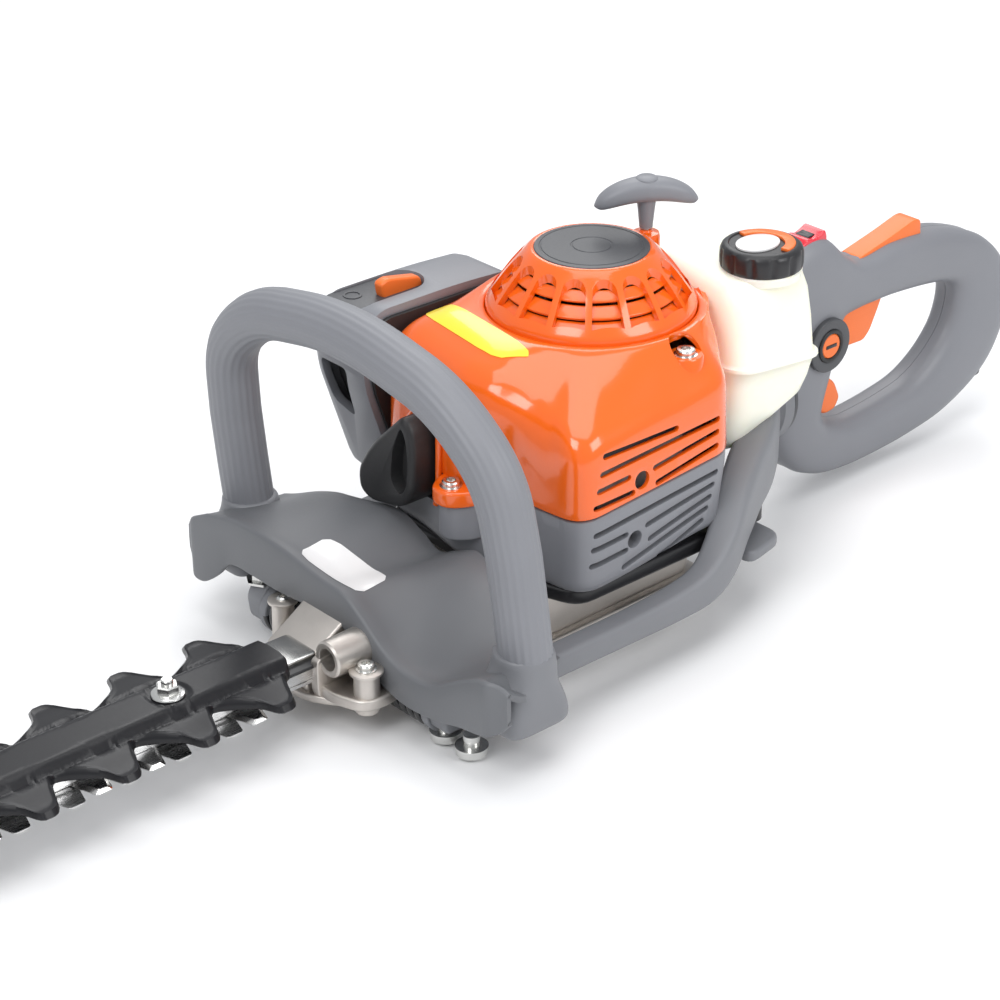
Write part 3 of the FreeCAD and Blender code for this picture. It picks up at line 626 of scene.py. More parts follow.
def seamHeight(x):
    return cowl["seamFront"] + cowl["seamRise"] * min(max((77 - x) / 88, 0), 1.2)


def walled(p, points, depth):
    # the outer line, then the same line one wall further in, so that rows close into a shell
    heading = p.normalized()
    inner = []
    for i, (r, z) in enumerate(points):
        before, after = points[max(i - 1, 0)], points[min(i + 1, len(points) - 1)]
        run = (Vector(after) - Vector(before)).normalized()
        inner.append((r + run.y * depth, z - run.x * depth))
    return [(heading.x * r, heading.y * r, z) for r, z in points + inner[::-1]]


def cowlProfile(p):
    angle = degrees(atan2(p.y, p.x)) % 360
    reach = p.length
    top = keyed(cowl["shoulder"], angle)
    turn = keyed(cowl["rounding"], angle)
    swell = keyed(cowl["swell"], angle)
    low = seamHeight(p.x)
    start, height = cowl["plateau"], cowl["rimTop"]
    flank = reach - 1.5
    open_ = rounded([(start, height), (flank, top), (reach, low)], turn, 10, closed=False)
    slope, arc, wall = open_[0], open_[1:-1], open_[-1]
    points = [(cowl["rim"], height - 4), (cowl["rim"], height - 1), (cowl["rim"] + 1, height), (start - 2, height)]
    first = Vector(arc[0]) - Vector(slope)
    for k in range(8):
        t = k / 8
        lift = swell * sin(pi * t) * 0.6
        points.append((slope[0] + first.x * t, slope[1] + first.y * t + lift * 0.5))
    points += arc
    last = Vector(arc[-1])
    for k in range(1, 7):
        t = k / 6
        points.append((last.x + (wall[0] - last.x) * t, last.y + (wall[1] - last.y) * t))
    return walled(p, points, cowl["wall"])


def slotCutters(slots, hole, low, high):
    made = []
    for i, (x0, z0, x1, z1) in enumerate(slots):
        made.append(prism("slot%d" % i, capsule(x0, z0, x1, z1, cowl["slotWidth"] / 2), low, high))
    made.append(prism("grilleHole", ring2(hole[0], hole[1], cowl["holeRadius"]), low, high))
    return made


def makeCowl():
    outline = evenly(planPoints(cowl["plan"]), 300)
    rows = [list(r) for r in zip(*[cowlProfile(p) for p in outline])]
    shell = grid("engineCowl", rows, closedRows=True)
    cutters = slotCutters(cowl["upperSlots"], cowl["upperHole"], 66, 92)
    arch = rounded(cowl["bootArch"], 8, 4)
    cutters.append(prism("bootOpening", arch, 74, 110, "YZ"))
    cutters.append(prism("screwWell", ring2(-3, 61.5, 8.2, 40), 120, 165, "XY"))
    for cutter in cutters:
        carve(shell, [cutter])
    dress(bevel(shell, 0.45, 2, 50), orangeGloss, stands="engine_cowl", sharp=50)
    well = lathe("deckWell", [(0, 124), (8.6, 124), (8.6, 147), (8.0, 147.8), (0, 147.8)], (-3, 61.5, 0), steps=48)
    dress(well, orangeGloss)
    # shelf for the front screw, and the grey cover's step under it
    shelf = rounded([(80, -7), (97, -3.5), (105.6, 3), (105.6, 13), (97, 20), (80, 24)], [3, 8, 7, 7, 8, 3], 6)
    seat = slab("frontShelf", shelf, 84.4, 92.6, "XY", 2.2, 4)
    dress(seat, orangeGloss)
    step = slab("frontStep", [(80 + (x - 80) * 0.86, 8 + (y - 8) * 0.9) for x, y in shelf], 66, 84.2, "XY", 2.2, 4)
    dress(step, greyShell)


def lowerProfile(p):
    # wall of the grey cover: from the seam down to a bottom that slants up to the back
    angle = degrees(atan2(p.y, p.x)) % 360
    top = seamHeight(p.x) - 0.7
    low = keyed([(0, 50), (44, cowl["bottomLow"]), (100, 56), (120, 64), (150, 66), (300, 60), (330, 50), (360, 50)],
                angle)
    inset = keyed([(0, 2), (40, 2.5), (100, 6), (140, 4), (360, 2)], angle)
    reach = p.length - 0.5
    heading = p.normalized()
    points = [(reach - 3, top - 0.6), (reach - 0.8, top - 0.6), (reach, top - 1.2)]
    points += [(reach - inset * ease(t) * 0.5, lerp(top - 2, low + 5, t)) for t in (0.15, 0.3, 0.45, 0.6, 0.75, 0.9, 1)]
    points += [(reach - inset * 0.5 - 1.4, low + 2), (reach - inset * 0.5 - 5, low), (reach - 16, low - 0.5)]
    return [(heading.x * r, heading.y * r, z) for r, z in points]


def makeLowerCover():
    outline = evenly(planPoints(cowl["plan"]), 260)
    rows = [list(r) for r in zip(*[lowerProfile(p) for p in outline])]
    shell = grid("lowerCover", rows, closedRows=True)
    cutters = slotCutters(cowl["lowerSlots"], cowl["lowerHole"], 62, 92)
    arch = [(y, z) for y, z in rounded(cowl["bootArch"], 8, 4)]
    cutters.append(prism("bootOpeningLow", arch, 74, 110, "YZ"))
    carve(shell, cutters)
    dress(bevel(shell, 0.4, 2, 50), greyShell, stands="lower_cover", sharp=50)
    # dark liner, so that slots look into shadow: painted shade, a black sheet put inside where the slots show only
    # shadow
    inner = [((74, 70), 8), ((76, 30), 8), ((80, -20), 8), ((78, -54), 8), ((-28, -54), 10), ((-46, -28), 10),
             ((-44, 28), 10),
             ((-14, 68), 8)]
    liner = slab("slotShadeLiner", planPoints(inner), 62, 126, "XY", 2)
    well = lathe("bore", [(0, 58), (48.5, 58), (48.5, 130), (0, 130)])
    carve(liner, [well, block("bootRoom", (60, -56, 60), (100, -2, 127), 3)])
    dress(liner, blackPlastic)


makeCowl()
makeLowerCover()
print("engine covers made")


# Fan cover: a dome of arched ribs over louvre rings, with a plain disc on top

fan = {"ribs": 16, "ribHalf": 1.5,
       "profile": [(28.4, 184.4), (29.6, 184.2), (31.5, 183.0), (36, 178.2), (41.5, 171.6), (47.2, 163.6),
                   (50.4, 158.6),
                   (51.2, 155.8), (51.2, 153.0)],
       "louvres": [(36.3, 175.6, 3.8), (41.1, 169.6, 4.4), (45.7, 163.2, 4.6)]}


def makeFanCover():
    curve = [tuple(p) for p in flowing(fan["profile"], 4)]
    inner = [(r - 2.6, z - 1.6) for r, z in reversed(curve)]
    inner[0] = (curve[-1][0] - 2.6, curve[-1][1])
    shell = lathe("fanCover", curve + inner, steps=192, closed=True)
    cutters = []
    step = 2 * pi / fan["ribs"]
    for i in range(fan["ribs"]):
        middle = step * (i + 0.5)
        outline = []
        # arch in (angle, height) terms, wide at the foot and round at the top
        lowR, highR = 47.8, 33.4
        half = step / 2
        for k in range(3):
            r = lerp(lowR, 38, k / 2)
            outline.append((r, half * r - fan["ribHalf"]))
        for k in range(7):
            a = pi / 2 * k / 6
            outline.append((38 + (highR - 38) * sin(a), (half * 38 - fan["ribHalf"]) * cos(a)))
        full = outline + [(r, -w) for r, w in reversed(outline[:-1])]
        rows = []
        for z in (140, 200):
            rows.append([(r * cos(middle) - w * sin(middle), r * sin(middle) + w * cos(middle), z) for r, w in full])
        cutters.append(grid("opening%d" % i, rows))
    # one joined cutter is quicker than many
    carve(shell, [merged(cutters)])
    dress(bevel(shell, 0.5, 2, 40), orangeGloss, stands="fan_cover", sharp=42)
    for i, (r, z, w) in enumerate(fan["louvres"]):
        band = [(r - w * 0.75, z + 0.2), (r + w * 0.55, z - w * 0.95), (r + w * 0.35, z - w * 1.3),
                (r - w * 0.95, z - 0.6)]
        ring = lathe("louvre%d" % i, rounded(band, 0.5, 2), steps=144, closed=True)
        dress(ring, orangeGloss, sharp=60)
    blades = []
    for i in range(18):
        a = 2 * pi * i / 18
        rows = []
        for r, lean in ((18, 0), (27, 0.12), (36, 0.26), (43, 0.4)):
            c, s = cos(a + lean), sin(a + lean)
            section = ((-0.9, 143.8), (0.9, 143.8), (0.7, 149.4), (-0.7, 149.4))
            rows.append([(r * c - w * s, r * s + w * c, z) for w, z in section])
        blades.append(grid("fanBlade", rows))
    fanWheel = merged(blades)
    fanWheel.name = "fanBlades"
    dress(fanWheel, blackPlastic, body="crank")
    # plain badge: a dark disc with two fine rings
    badge = [(0, 185.0), (9, 184.98), (9.3, 184.7), (10, 184.7), (10.3, 184.98), (24.2, 184.8), (24.5, 184.5),
             (25.1, 184.5),
             (25.4, 184.75), (27.6, 184.6), (28, 184.1), (28, 181), (0, 181)]
    disc = lathe("topBadge", badge, steps=96)
    dress(disc, darkPlastic, stands="emblem_disc")


makeFanCover()
print("fan cover made")


# Starter: a drooping bar on a tapered stem, its guide nub and the cord between

starter = {"x": -36, "barLength": 26, "turn": -31, "droop": 7.0, "top": 210.2}


def makeStarter():
    turn = radians(starter["turn"])
    rows = []
    count = 25
    for i in range(count):
        u = -1 + 2 * i / (count - 1)
        s = u * starter["barLength"]
        fat = sqrt(max(0, 1 - abs(u) ** 5)) * 0.94 + 0.06
        zMid = starter["top"] - 6.0 - starter["droop"] * abs(u) ** 2.1
        tall = (4.8 + 1.2 * (1 - abs(u) ** 1.5)) * fat
        wide = (6.0 + 1.6 * (1 - abs(u)) ** 1.2) * fat
        rows.append([(starter["x"] + s * cos(turn) - y * sin(turn), s * sin(turn) + y * cos(turn), zMid + z)
                     for y, z in superEllipse(wide, tall, 2.6, 24)])
    bar = subdivide(grid("starterBar", rows), 1)
    stem = lathe("starterStem", [(0, 204), (6.4, 203), (4.8, 199), (4.2, 194), (3.5, 187), (3.3, 184.6), (2.2, 184.4),
                                 (2.2, 186), (0, 186)], (starter["x"], 0, 0), steps=40)
    boss = lathe("starterBoss", [(0, 210.6), (4.4, 210.5), (5.4, 209.8), (5.8, 208), (0, 208)], (starter["x"], 0, 0),
                 steps=36)
    dress(bar, greyShell, body="pull", stands="starter_handle")
    dress(stem, greyShell, body="pull")
    dress(boss, greyShell, body="pull")
    line = [(starter["x"], 0, 156 + k) for k in range(31)]
    cord = sweep("starterCordRun", line, lambda i, t: disc2(1.6, 16), side=(0, 1, 0))
    dress(cord, cordFibre, body=None, stands="starter_cord")
    at(starter["x"], 0, 158)
    at(starter["x"], 0, 184)
    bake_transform(cord)
    nub = lathe("starterNub", [(0, 183.4), (3.0, 183.4), (3.4, 182.4), (6.4, 181.8), (7.0, 180.4), (7.0, 168.2),
                               (0, 168.2)],
                (starter["x"], 0, 0), steps=48)
    dress(nub, orangeGloss, stands="starter_guide")


makeStarter()
print("starter made")


# Fuel tank: two waxy halves with a flange between, a neck, and a scalloped cap

tank = {"x": (-108.5, -44), "y": (-50, 58), "cap": (-78, 38)}


def tankRing(x0, x1, y0, y1, radius, z, lean=0.0):
    pts = rounded([(x1, y1), (x0, y1), (x0, y0), (x1, y0)], radius, 7)
    return [(x, y, z + lean * (x - x0)) for x, y in pts]


def makeTank():
    x0, x1 = tank["x"]
    y0, y1 = tank["y"]
    # the bottom slants up towards the back
    rows = [tankRing(x0 + 16, x1 - 5, y0 + 8, y1 - 16, 10, 92, -0.42),
            tankRing(x0 + 10, x1 - 2.4, y0 + 4, y1 - 9, 12, 94, -0.36),
            tankRing(x0 + 6, x1 - 1.2, y0 + 2.6, y1 - 6, 13, 98, -0.3),
            tankRing(x0 + 4, x1 - 1, y0 + 2.2, y1 - 4, 13.5, 104, -0.15),
            tankRing(x0 + 2.4, x1 - 1, y0 + 2, y1 - 3, 14, 110, 0.0)]
    for out, z in ((1.6, 113.4), (0.2, 113.9), (0.0, 114.6), (0.2, 116.0), (1.6, 116.5)):
        rows.append(tankRing(x0 + out, x1 - out * 0.4, y0 + out, y1 - out, 15, z, 0.1))
    rows += [tankRing(x0 + 2.2, x1 - 1.4, y0 + 1.8, y1 - 2.4, 14, 118, 0.1),
             tankRing(x0 + 3.0, x1 - 2, y0 + 3, y1 - 3, 16, 136, 0.04),
             tankRing(x0 + 4.0, x1 - 3, y0 + 5, y1 - 4, 18, 150),
             tankRing(x0 + 6.0, x1 - 5, y0 + 8, y1 - 6, 19, 158.5),
             tankRing(x0 + 9.5, x1 - 8.5, y0 + 12, y1 - 9.5, 17, 162.8),
             tankRing(x0 + 15, x1 - 15, y0 + 19, y1 - 16, 13, 164.4),
             tankRing(x0 + 25, x1 - 25, y0 + 34, y1 - 30, 6, 164.8)]
    body = grid("fuelTankShell", rows)
    dress(body, tankPlastic, stands="fuel_tank", sharp=60)
    cx, cy = tank["cap"]
    collar = lathe("tankNeck", [(0, 160), (19.6, 160), (20.2, 163.6), (19.2, 165.4), (17.6, 165.9), (17.6, 167.2),
                                (15, 167.4), (0, 167.4)], (cx, cy, 0))
    dress(collar, tankPlastic)


def makeCap():
    cx, cy = tank["cap"]

    def scallop(a, r, height):
        return -1.1 * max(0.0, cos(a * 12)) ** 2 if 165.6 < height < 174.5 and r > 19 else 0.0

    profile = [(0, 165), (15, 165), (15, 164.2), (19.4, 164.2), (20.2, 165), (20.6, 166.5), (20.7, 170), (20.5, 173),
               (19.8, 174.8), (18.4, 175.9), (16.6, 176.2), (16, 175.5), (0, 175.4)]
    cap = lathe("fuelCapBody", profile, (cx, cy, 0), steps=144, wobble=scallop)
    dress(cap, blackPlastic, body="cap", stands="fuel_cap", sharp=45)
    # white oval, and an orange crescent lying along half of the rim
    middle = []
    for k in range(48):
        a = 2 * pi * k / 48
        middle.append((cx + 11.5 * cos(a) * 1.06 + 2.0, cy + 9.5 * sin(a) - 1.0))
    oval = slab("capOval", middle, 175.2, 176.7, "XY", 0.5, 2)
    dress(oval, labelWhite, body="cap")
    lune = []
    for k in range(33):
        a = radians(95 + 172 * k / 32)
        lune.append((cx + 16.4 * cos(a), cy + 16.4 * sin(a)))
    for k in range(33):
        a = radians(260 - 158 * k / 32)
        lune.append((cx + 2.4 + 13.4 * cos(a), cy + 12.2 * sin(a)))
    crescent = slab("capCrescent", lune, 175.1, 176.95, "XY", 0.5, 2)
    dress(crescent, orangeSatin, body="cap")


makeTank()
makeCap()
print("fuel tank made")
# Rear handle: a hollow loop in two halves, seam down the middle

handleScrews = [(-132, 122), (-132, 40), (-286, 92), (-226, 22), (-270, 108)]
rearLoop = {
    "outer": [(-122, 44), (-122, 80), (-122, 106), (-127, 134), (-140, 146.5), (-158, 147.5), (-172, 136),
              (-187, 127.5),
              (-212, 130), (-240, 128.5), (-262, 124), (-288, 113), (-307, 96), (-315.5, 74), (-311, 50), (-296, 30),
              (-266, 15), (-236, 9), (-206, 6.5), (-180, 6.5), (-158, 10), (-138, 21)],
    "inner": [(-162, 50), (-168, 68), (-174, 86), (-176, 94), (-178, 96), (-182, 97), (-190, 98), (-198, 98.5),
              (-216, 98), (-240, 96), (-256, 93.5), (-265, 90), (-268, 84), (-267, 74), (-262, 63), (-250, 51),
              (-234, 42), (-214, 38), (-194, 36), (-180, 36), (-168, 40), (-163, 44)],
    "half": [14.6, 14.6, 14.6, 14.6, 14.2, 13.8, 13.5, 13, 12.6, 12.4, 12.4, 12.4, 12.6, 13, 13, 13, 13, 13, 13, 13.4,
             14, 14.4],
    "power": 3.0,
}


def makeRearHalf(side):
    spec = rearLoop
    outer = flowing(spec["outer"], 6, True)
    inner = flowing(spec["inner"], 6, True)
    half = [v.x for v in flowing([(h, 0) for h in spec["half"]], 6, True)]
    count = 14
    rows = []
    for a, b, wide in zip(outer, inner, half):
        middle = (a + b) / 2
        reach = (a - b) / 2
        row = []
        for k in range(count + 1):
            angle = pi * k / count - pi / 2
            s, c = sin(angle), cos(angle)
            u = abs(s) ** (2 / spec["power"]) * (1 if s > 0 else -1)
            v = abs(c) ** (2 / spec["power"])
            # a fine groove where the halves meet
            lip = 0.5 if k in (0, count) else 0.0
            place = middle + reach * (u * (1 - lip / reach.length))
            row.append((place.x, side * max(0.12, wide * v), place.y))
        rows.append(row)
    shell = grid("rearHandleLeft" if side > 0 else "rearHandleRight", rows, around=False, closedRows=True)
    cutters = []
    if side > 0:
        # swivel seat and the shallow panel round it
        cutters.append(lathe("seat", [(0, 13.6), (14.2, 13.6), (14.2, 20), (0, 20)], (-156, 0, 90), "Y"))
    else:
        for x, z in handleScrews:
            cutters.append(lathe("screwSeat", [(0, -24), (4.4, -24), (4.4, -11.4), (0, -11.4)], (x, 0, z), "Y"))
    closed = thicken(shell, 2.4)
    carve(closed, [merged(cutters)])
    dress(closed, greyShell, body="rear_handle", stands="rear_handle_left" if side > 0 else "rear_handle_right",
          sharp=44)


def makeRearFittings():
    # swivel: grey ring, black ring, orange core with a slot
    for name, r0, r1, y0, y1, finish, slot in (("swivelRing", 9.0, 14.8, 12.6, 17.6, darkPlastic, "black_plastic"),
                                               ("swivelBlack", 6.8, 9.2, 12.6, 18.4, blackRubber, "black_rubber"),
                                               ("swivelCore", 0.0, 7.0, 12.6, 17.9, orangeSatin, "orange_lever")):
        profile = rounded([(r0, y0), (r1, y0), (r1, y1), (r0, y1)], 0.9, 3) if r0 else [(0, y0), (r1, y0),
                                                                                        (r1, y1 - 0.8),
                                                                                   (r1 - 0.8, y1), (0, y1)]
        ring = lathe(name, profile, (-156, 0, 90), "Y", 56, closed=r0 > 0)
        dress(ring, finish, body="rear_handle", stands="swivel_bush" if r0 == 9.0 else ())
    # the slot is a thin black strip laid on the orange core: painted shade standing in for the slot's depth
    groove = block("swivelSlotShade", (-160, 17.6, 89), (-152, 18.25, 91), 0.3, 2)
    dress(groove, blackPlastic, body="rear_handle")
    # the flange that turns on the frame
    flange = lathe("swivelFlange", [(16, -124.6), (24.6, -124.6), (25.6, -123.6), (25.6, -121.6), (24.8, -121.2),
                                    (16, -121.2)],
                   (0, 0, 70), "X", 72, closed=True)
    dress(flange, darkPlastic, body="rear_handle")
    liner = slab("handleLiner", [(-296, 46), (-262, 46), (-262, 26), (-296, 26)], -8, 8, "XZ", 3)
    dress(liner, blackPlastic, body="rear_handle")


def sideShape(name, outline, half, radius, finish, body, stands, edge=1.6):
    shape = slab(name, rounded(outline, radius, 5), -half, half, "XZ", edge, 4)
    dress(shape, finish, body=body, stands=stands, sharp=50)
    return shape


def makeLevers():
    sideShape("triggerLever", [(-172, 103), (-176, 106), (-200, 104), (-209, 101), (-206, 94), (-200, 82), (-195, 77.5),
                               (-180, 78), (-176, 84), (-172, 96)], 6.4, 2.4, orangeSatin, "trigger",
              "throttle_trigger", 1.8)
    sideShape("lockoutLever", [(-196, 116), (-187, 127), (-212, 132.5), (-230, 137.2), (-235.5, 136.5), (-236.5, 124),
                               (-226, 114)], 6.4, 2.6, orangeSatin, "lockout", "throttle_lockout",
              1.8)
    sideShape("catchLever", [(-150, 64), (-157, 68.5), (-166, 66.5), (-175, 59), (-179.5, 49), (-176, 43), (-168, 42),
                             (-160, 47), (-152, 55)], 5.6, 2.6, orangeSatin, "catch", "handle_catch",
              1.8)
    sideShape("stopSwitch", [(-142.6, 140), (-142.6, 146), (-146, 149.4), (-151, 148), (-155, 149.6), (-159, 151.4),
                             (-160.6, 148), (-160.6, 140)], 7.2, 1.6, redPlastic, "switch", "stop_switch",
              1.0)
    nub = slab("switchDimple", rounded([(-148, 148.4), (-150, 149.3), (-152, 149.2), (-154, 149.9), (-154, 147),
                                        (-148, 147)],
                                       0.8, 3), -4.2, 4.2, "XZ", 0.4, 2)
    dress(nub, blackPlastic, body="switch")


def makeScrew(name, centre, axis, body, head=4.0, tall=2.6):
    # socket-head screw: rounded head with a recess and a washer below
    profile = [(0, 0), (head * 1.25, 0), (head * 1.25, 0.7), (head, 0.9), (head, tall - 0.7), (head - 0.5, tall - 0.1),
               (head - 0.9, tall), (head * 0.52, tall), (head * 0.46, tall - 1.7), (0, tall - 1.9)]
    screw = lathe(name, profile, centre, axis, 36)
    return dress(screw, zincSteel, body=body, sharp=36)


makeRearHalf(1)
makeRearHalf(-1)
makeRearFittings()
makeLevers()
for i, (x, z) in enumerate(handleScrews):
    screw = makeScrew("handleScrew%d" % i, (x, -11.2, z), ((1, 0, 0), (0, 0, 1), (0, -1, 0)), "rear_handle", 2.6, 2.4)
    if i == 0:
        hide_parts("handle_screws")
screw = makeScrew("coverScrewTop", (-3, 61.5, 147.2), "Z", "base", 4.6, 3.4)
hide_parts("cover_screws")
makeScrew("coverScrewFront", (97.2, 8, 92.2), "Z", "base", 4.4, 3.4)
print("rear handle made")
# Front handle: a fluted grip bent over the machine, standing in flared feet

arch = {"half": [(102, 57), (101.8, 80), (101, 108), (97, 146), (66, 173.5), (0, 187)], "bend": [0, 0, 0, 30, 40, 60],
        "radius": 12.4, "flutes": 22, "depth": 0.15, "footX": 135, "lean": 0.115}


def archLine():
    right = arch["half"]
    left = [(-y, z) for y, z in reversed(right[:-1])]
    radii = arch["bend"] + list(reversed(arch["bend"][:-1]))
    line = rounded(right + left, radii, 12, closed=False)
    return [(arch["footX"] + arch["lean"] * (z - 58), y, z) for y, z in line]


def makeFrontHandle():
    path = [tuple(p) for p in evenly2(archLine(), 130)]
    steps = 108

    def fluted(i, t):
        out = []
        for k in range(steps):
            a = 2 * pi * k / steps
            r = arch["radius"] + arch["depth"] * cos(a * arch["flutes"])
            out.append((r * cos(a), r * sin(a)))
        return out

    grip = sweep("frontGrip", path, fluted, side=(1, 0, 0))
    dress(grip, gripRubber, stands="front_grip", sharp=60)
    for side in (1, -1):
        rows = []
        for z, a, b, power in ((59.5, 13.0, 13.0, 2), (59.2, 13.9, 13.9, 2), (52, 14.4, 14.3, 2.2),
                               (45, 15.6, 14.4, 2.8),
                               (38, 17.6, 14.8, 3.6), (31, 18.8, 15, 4.5), (25.5, 18.6, 14.6, 5), (22.6, 17.6, 13.6, 5),
                               (21.4, 15.5, 11, 5)):
            x = 135 + 0.115 * (z - 58) + (4 if z < 46 else 0)
            rows.append([(x + u, side * 100.8 + v, z) for u, v in superEllipse(a, b, power, 48)])
        foot = grid("handleFootLeft" if side > 0 else "handleFootRight", rows)
        dress(subdivide(foot), frameShell, stands="handle_foot_left" if side > 0 else "handle_foot_right",
              sharp=70)
        bracket = slab("springBracket", rounded([(126, 10), (158, 10), (160, 24), (152, 34), (130, 34), (124, 22)], 4,
                                                4),
                       62 if side > 0 else -74, 74 if side > 0 else -62, "XZ", 1.6)
        dress(bracket, frameShell)
        seat = lathe("springSeat", rounded([(2, 58), (13.6, 58), (13.6, 63), (2, 63)], 1, 3), (147, 0, 17.5),
                     ((1, 0, 0), (0, 0, 1), (0, side, 0)), 40, closed=True)
        dress(seat, frameShell)


def evenly2(points, count):
    pts = [Vector(p) for p in points]
    total = sum((b - a).length for a, b in zip(pts, pts[1:]))
    out, walked, i = [], 0.0, 0
    for k in range(count):
        target = total * k / (count - 1)
        while i < len(pts) - 2 and walked + (pts[i + 1] - pts[i]).length < target:
            walked += (pts[i + 1] - pts[i]).length
            i += 1
        t = (target - walked) / (pts[i + 1] - pts[i]).length
        out.append(pts[i].lerp(pts[i + 1], min(max(t, 0), 1)))
    return out


# Hand guard: a waved plate with a deep lip along its front

guard = {
    "lip": [(0, 61.2), (11.3, 59.5), (23, 52.8), (37, 43.1), (48, 38.5), (58.8, 37.2), (72, 39.5), (92, 50.8),
            (104, 56.5),
            (112, 57), (118.4, 53)],
    "lipFar": [(0, 61.2), (11.5, 62.2), (30, 65), (45.6, 66.1), (62, 66.2), (76.6, 65), (96.4, 60), (104, 56.5),
               (112, 52),
               (118.4, 46)],
    "low": [(0, 43), (10.4, 41.2), (20, 35), (32, 25.5), (45, 21), (58, 19.9), (75, 22), (91.7, 26), (104, 28),
            (113, 31),
            (118.4, 37)],
    "lowFar": [(0, 43), (12.6, 43), (30, 41.4), (45, 40.6), (62, 40.8), (78.6, 39.5), (90, 29), (100, 21.5), (108, 20),
               (114, 23), (118.4, 31)],
    "back": [(0, 56), (12, 61), (28, 67.5), (42, 67.6), (56, 62), (72, 52), (88, 47), (118.4, 50)],
    "backFar": [(0, 56), (12, 61), (28, 67.5), (42, 68), (60, 66.5), (78, 62), (96, 55), (118.4, 48)],
    "front": 165.5, "rear": 107, "thick": 3.2,
}


def spline1(keys, x):
    # a smooth curve through (place, value) pairs
    for i in range(len(keys) - 1):
        if x <= keys[i + 1][0] or i == len(keys) - 2:
            (x0, a), (x1, b) = keys[i], keys[i + 1]
            before = keys[max(i - 1, 0)]
            after = keys[min(i + 2, len(keys) - 1)]
            m0 = (b - before[1]) / (x1 - before[0])
            m1 = (after[1] - a) / (after[0] - x0)
            if i == 0:
                m0 = 0.0
            w = x1 - x0
            t = min(max((x - x0) / w, 0), 1)
            return (a * (2 * t ** 3 - 3 * t * t + 1) + b * (3 * t * t - 2 * t ** 3)
                    + w * (m0 * (t ** 3 - 2 * t * t + t) + m1 * (t ** 3 - t * t)))


def makeGuard():
    half = 118.4
    count = 141
    rows = []
    for i in range(count):
        y = -half + 2 * half * i / (count - 1)
        d = abs(y)
        lipTop, low, rear = (spline1(guard[key + ("" if y > 0 else "Far")], d) for key in ("lip", "low", "back"))
        tuck = 5.0 * ease((d - 108) / 10.4)                 # ends curl back
        front = guard["front"] - tuck
        shift = -9 + 9 * ease((d - 20) / 40) + 6 * ease((d - 62) / 40) + 36 * ease((d - 101) / 9)
        row = [(front - 3.0, y, low), (front - 0.6, y, low), (front, y, low + 1), (front + 0.2, y, lipTop - 8),
               (front, y, lipTop - 1.6), (front - 0.7, y, lipTop - 0.4), (front - 2.0, y, lipTop)]
        for k in range(1, 13):
            t = k / 12
            x = lerp(front - 2, guard["rear"] + shift, t)
            row.append((x, y, lerp(lipTop, rear, ease(t)) - 1.4 * min(t * 8, 1)))
        rows.append(row)
    plate = thicken(grid("handGuard", rows, around=False), guard["thick"], -1)
    dress(bevel(plate, 0.7, 2, 60), guardShell, stands="hand_guard", sharp=48)
    label = draped("blankLabel", [(161, -30, 120), (158.5, 12, 120), (136, 10, 120), (140, -32, 120)], plate)
    dress(label, labelWhite)


# Handle frame: two rails that rise behind the engine, join under the tank and carry the swivel

rails = {
    "path": [(124, 85.5, 33), (90, 85.5, 33), (56, 85.5, 33), (22, 85.3, 34), (2, 84, 37), (-14, 79, 45), (-30, 70, 55),
             (-48, 60, 63), (-66, 50, 68), (-86, 34, 71), (-99, 16, 72), (-104, 0, 72)],
    "tall": [6.5, 6.5, 6.8, 7.8, 9.5, 12, 14.5, 16, 17.5, 19.5, 21, 21.5],
    "thick": [6.4, 6.4, 6.4, 6.6, 7, 8, 9, 9.5, 10, 10, 10, 10],
}


def makeFrame():
    left = rails["path"]
    whole = left + [(x, -y, z) for x, y, z in reversed(left[:-1])]
    tall = rails["tall"] + list(reversed(rails["tall"][:-1]))
    thick = rails["thick"] + list(reversed(rails["thick"][:-1]))
    path = flowing(whole, 6)
    talls = [v.x for v in flowing([(a, 0) for a in tall], 6)]
    thicks = [v.x for v in flowing([(a, 0) for a in thick], 6)]

    def strap(i, t):
        return superEllipse(talls[i], thicks[i], 5, 36)

    body = sweep("handleFrame", path, strap, side=(0, 0, 1))
    dress(body, frameShell, stands="handle_frame", sharp=60)
    flange = lathe("frameFlange", [(0, -121), (25.8, -121), (26.8, -120), (26.8, -113), (24, -110.5), (21, -100),
                                   (0, -100)],
                   (0, 0, 70), "X", 72)
    dress(flange, frameShell)
    # cross web under the engine, with the rubber blocks' seats
    web = slab("frameWeb", rounded([(-62, -74), (-34, -80), (-34, 80), (-62, 74)], 8, 5), 30, 36, "XY", 1.6)
    dress(web, frameShell)
    apron = slab("engineApron", rounded([(-30, -56), (84, -56), (88, 30), (74, 72), (-16, 72), (-44, 28), (-46, -28)],
                                        10, 5),
                 44, 52, "XY", 2)
    dress(apron, blackPlastic)


def makeGuardBolts():
    parts = []
    for x in (141, 153):
        for y in (-70, 70):
            parts.append(lathe("guardBolt", [(0, 30.2), (8, 30.2), (8, 31.4), (5.6, 31.8), (5.4, 34.4), (4.4, 35.2),
                                             (0, 35.4)],
                               (x, y, 0), steps=6))
    bolts = merged(parts)
    bolts.name = "guardBolts"
    dress(bolts, zincSteel, stands="guard_bolts", sharp=25)
    for y in (64, 82):
        foot = lathe("underBolt", [(0, 0.6), (4.6, 0.6), (7.4, 2.4), (7.8, 5), (7.8, 6.4), (4, 6.6), (4, 12), (0, 12)],
                     (150, y, 0), steps=32)
        dress(foot, zincSteel)


makeFrontHandle()
makeGuard()
makeFrame()
makeGuardBolts()
print("front handle, guard and frame made")
# Gearbox: die-cast base and cover, wedge nose with a round boss, posts and a black plug

